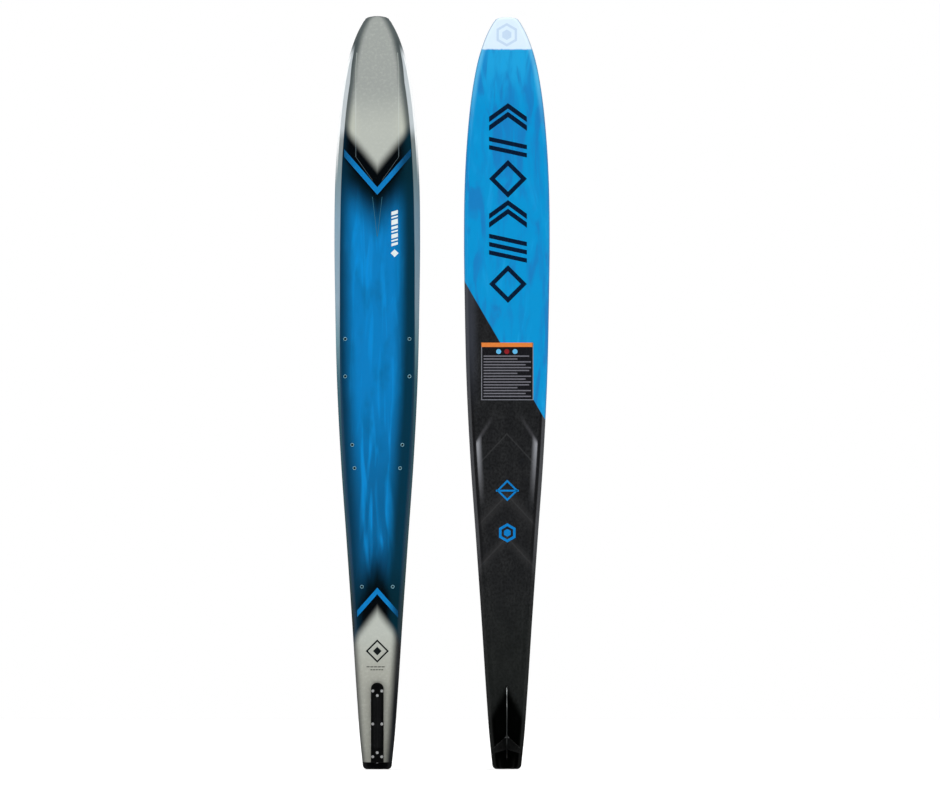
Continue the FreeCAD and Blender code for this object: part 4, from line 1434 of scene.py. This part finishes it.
def light_room(room, stage):
    """Surroundings: white to the camera and soft on the skis, while gloss sees a dim
    room, darker still straight ahead of the skis and behind them."""
    room.tree.nodes.clear()
    toward = Field(room, room.node("ShaderNodeTexCoord").outputs["Generated"])
    span = {"Value": abs(room.parts(toward)[1]), "From Min": 0.6, "From Max": 0.92}
    span.update({"To Min": stage.mirrored, "To Max": 0.002})
    dim = Field(room, room.node("ShaderNodeMapRange", inputs=span).outputs[0])
    shades = []
    for strength in (stage.ambient, dim, 1.0):
        inputs = {"Color": grey(1.0), "Strength": strength}
        shades.append(Field(room, room.node("ShaderNodeBackground", inputs=inputs).outputs[0]))
    rays = room.node("ShaderNodeLightPath").outputs
    seen = shades[0]
    for ray, shade in (("Is Glossy Ray", shades[1]), ("Is Camera Ray", shades[2])):
        inputs = {0: Field(room, rays[ray]), 1: seen, 2: shade}
        seen = Field(room, room.node("ShaderNodeMixShader", inputs=inputs).outputs[0])
    room.node("ShaderNodeOutputWorld", inputs={0: seen})


class WATERSKI_OT_stage(bpy.types.Operator):
    """Pale floor, soft lamps, white surroundings and the camera"""

    bl_idname = "water_ski.stage"
    bl_label = "Stage"

    def execute(self, context):
        stage = context.scene.ski_stage
        bm = bmesh.new()
        bmesh.ops.create_grid(bm, x_segments=8, y_segments=8, size=stage.floor_reach)
        floor = scratch_object("floor", to_mesh(bm, "floor"))
        finish = Finish("floor_paint")
        tone = finish.noise(finish.place(), 3.0, 2.0)
        pale = finish.mix(tone * 0.1, grey(0.93), grey(0.88))
        floor.data.materials.append(finish.set(Base_Color=pale, Roughness=0.9))
        floor.visible_glossy = False

        world = context.scene.world or bpy.data.worlds.new("surroundings")
        context.scene.world = world
        world.use_nodes = True
        light_room(Nodes(world.node_tree), stage)

        sun = bpy.data.lights.new("sky", "SUN")
        sun.energy = stage.sky
        sun.angle = math.radians(40)
        sky = bpy.data.objects.new("sky", sun)
        context.scene.collection.objects.link(sky)
        lamp("front_left", (-3.2, -4.2, 2.6), 1.6, 3.0, 16)
        lamp("front_right", (3.4, -4.0, 2.2), 1.2, 2.6, 8)
        lamp("rear_left", (-3.0, 4.4, 2.8), 1.6, 2.6, 30)
        lamp("rear_right", (3.2, 4.2, 2.4), 1.6, 2.6, 30)

        data = bpy.data.cameras.new("camera")
        camera = bpy.data.objects.new("camera", data)
        context.scene.collection.objects.link(camera)
        data.sensor_width = 36
        data.lens = data.sensor_width * stage.camera_away / stage.view_width
        data.clip_end = 100
        camera.location = (stage.camera_side, -stage.camera_away, stage.camera_height)
        camera.rotation_euler = (math.radians(90), 0, 0)
        context.scene.camera = camera
        context.scene.view_settings.view_transform = "Standard"
        return {"FINISHED"}


OPERATORS = (
    WATERSKI_OT_deck_shells,
    WATERSKI_OT_base_shells,
    WATERSKI_OT_deck_bands,
    WATERSKI_OT_deck_ridges,
    WATERSKI_OT_deck_marks,
    WATERSKI_OT_base_graphic,
    WATERSKI_OT_base_plate,
    WATERSKI_OT_base_marks,
    WATERSKI_OT_inserts,
    WATERSKI_OT_fin_box,
    WATERSKI_OT_fins,
    WATERSKI_OT_inner_finishes,
    WATERSKI_OT_stage,
)


class WATERSKI_PT_panel(bpy.types.Panel):
    """The steps that make the skis, and their sizes and colours"""

    bl_label = "Water Skis"
    bl_space_type = "VIEW_3D"
    bl_region_type = "UI"
    bl_category = "Water Skis"

    def draw(self, context):
        for operator in OPERATORS:
            self.layout.operator(operator.bl_idname)
        for group in (context.scene.ski_hull, context.scene.ski_colours, context.scene.ski_stage):
            for key in group.bl_rna.properties.keys():
                if key not in ("rna_type", "name"):
                    self.layout.prop(group, key)


CLASSES = (HullSizes, GraphicColours, StageSizes, *OPERATORS, WATERSKI_PT_panel)


def register():
    for item in CLASSES:
        bpy.utils.register_class(item)
    bpy.types.Scene.ski_hull = PointerProperty(type=HullSizes)
    bpy.types.Scene.ski_colours = PointerProperty(type=GraphicColours)
    bpy.types.Scene.ski_stage = PointerProperty(type=StageSizes)


def unregister():
    del bpy.types.Scene.ski_stage
    del bpy.types.Scene.ski_colours
    del bpy.types.Scene.ski_hull
    for item in reversed(CLASSES):
        bpy.utils.unregister_class(item)


def main():
    register()
    for operator in OPERATORS:
        group, name = operator.bl_idname.split(".")
        getattr(getattr(bpy.ops, group), name)()


if __name__ == "__main__":
    main()
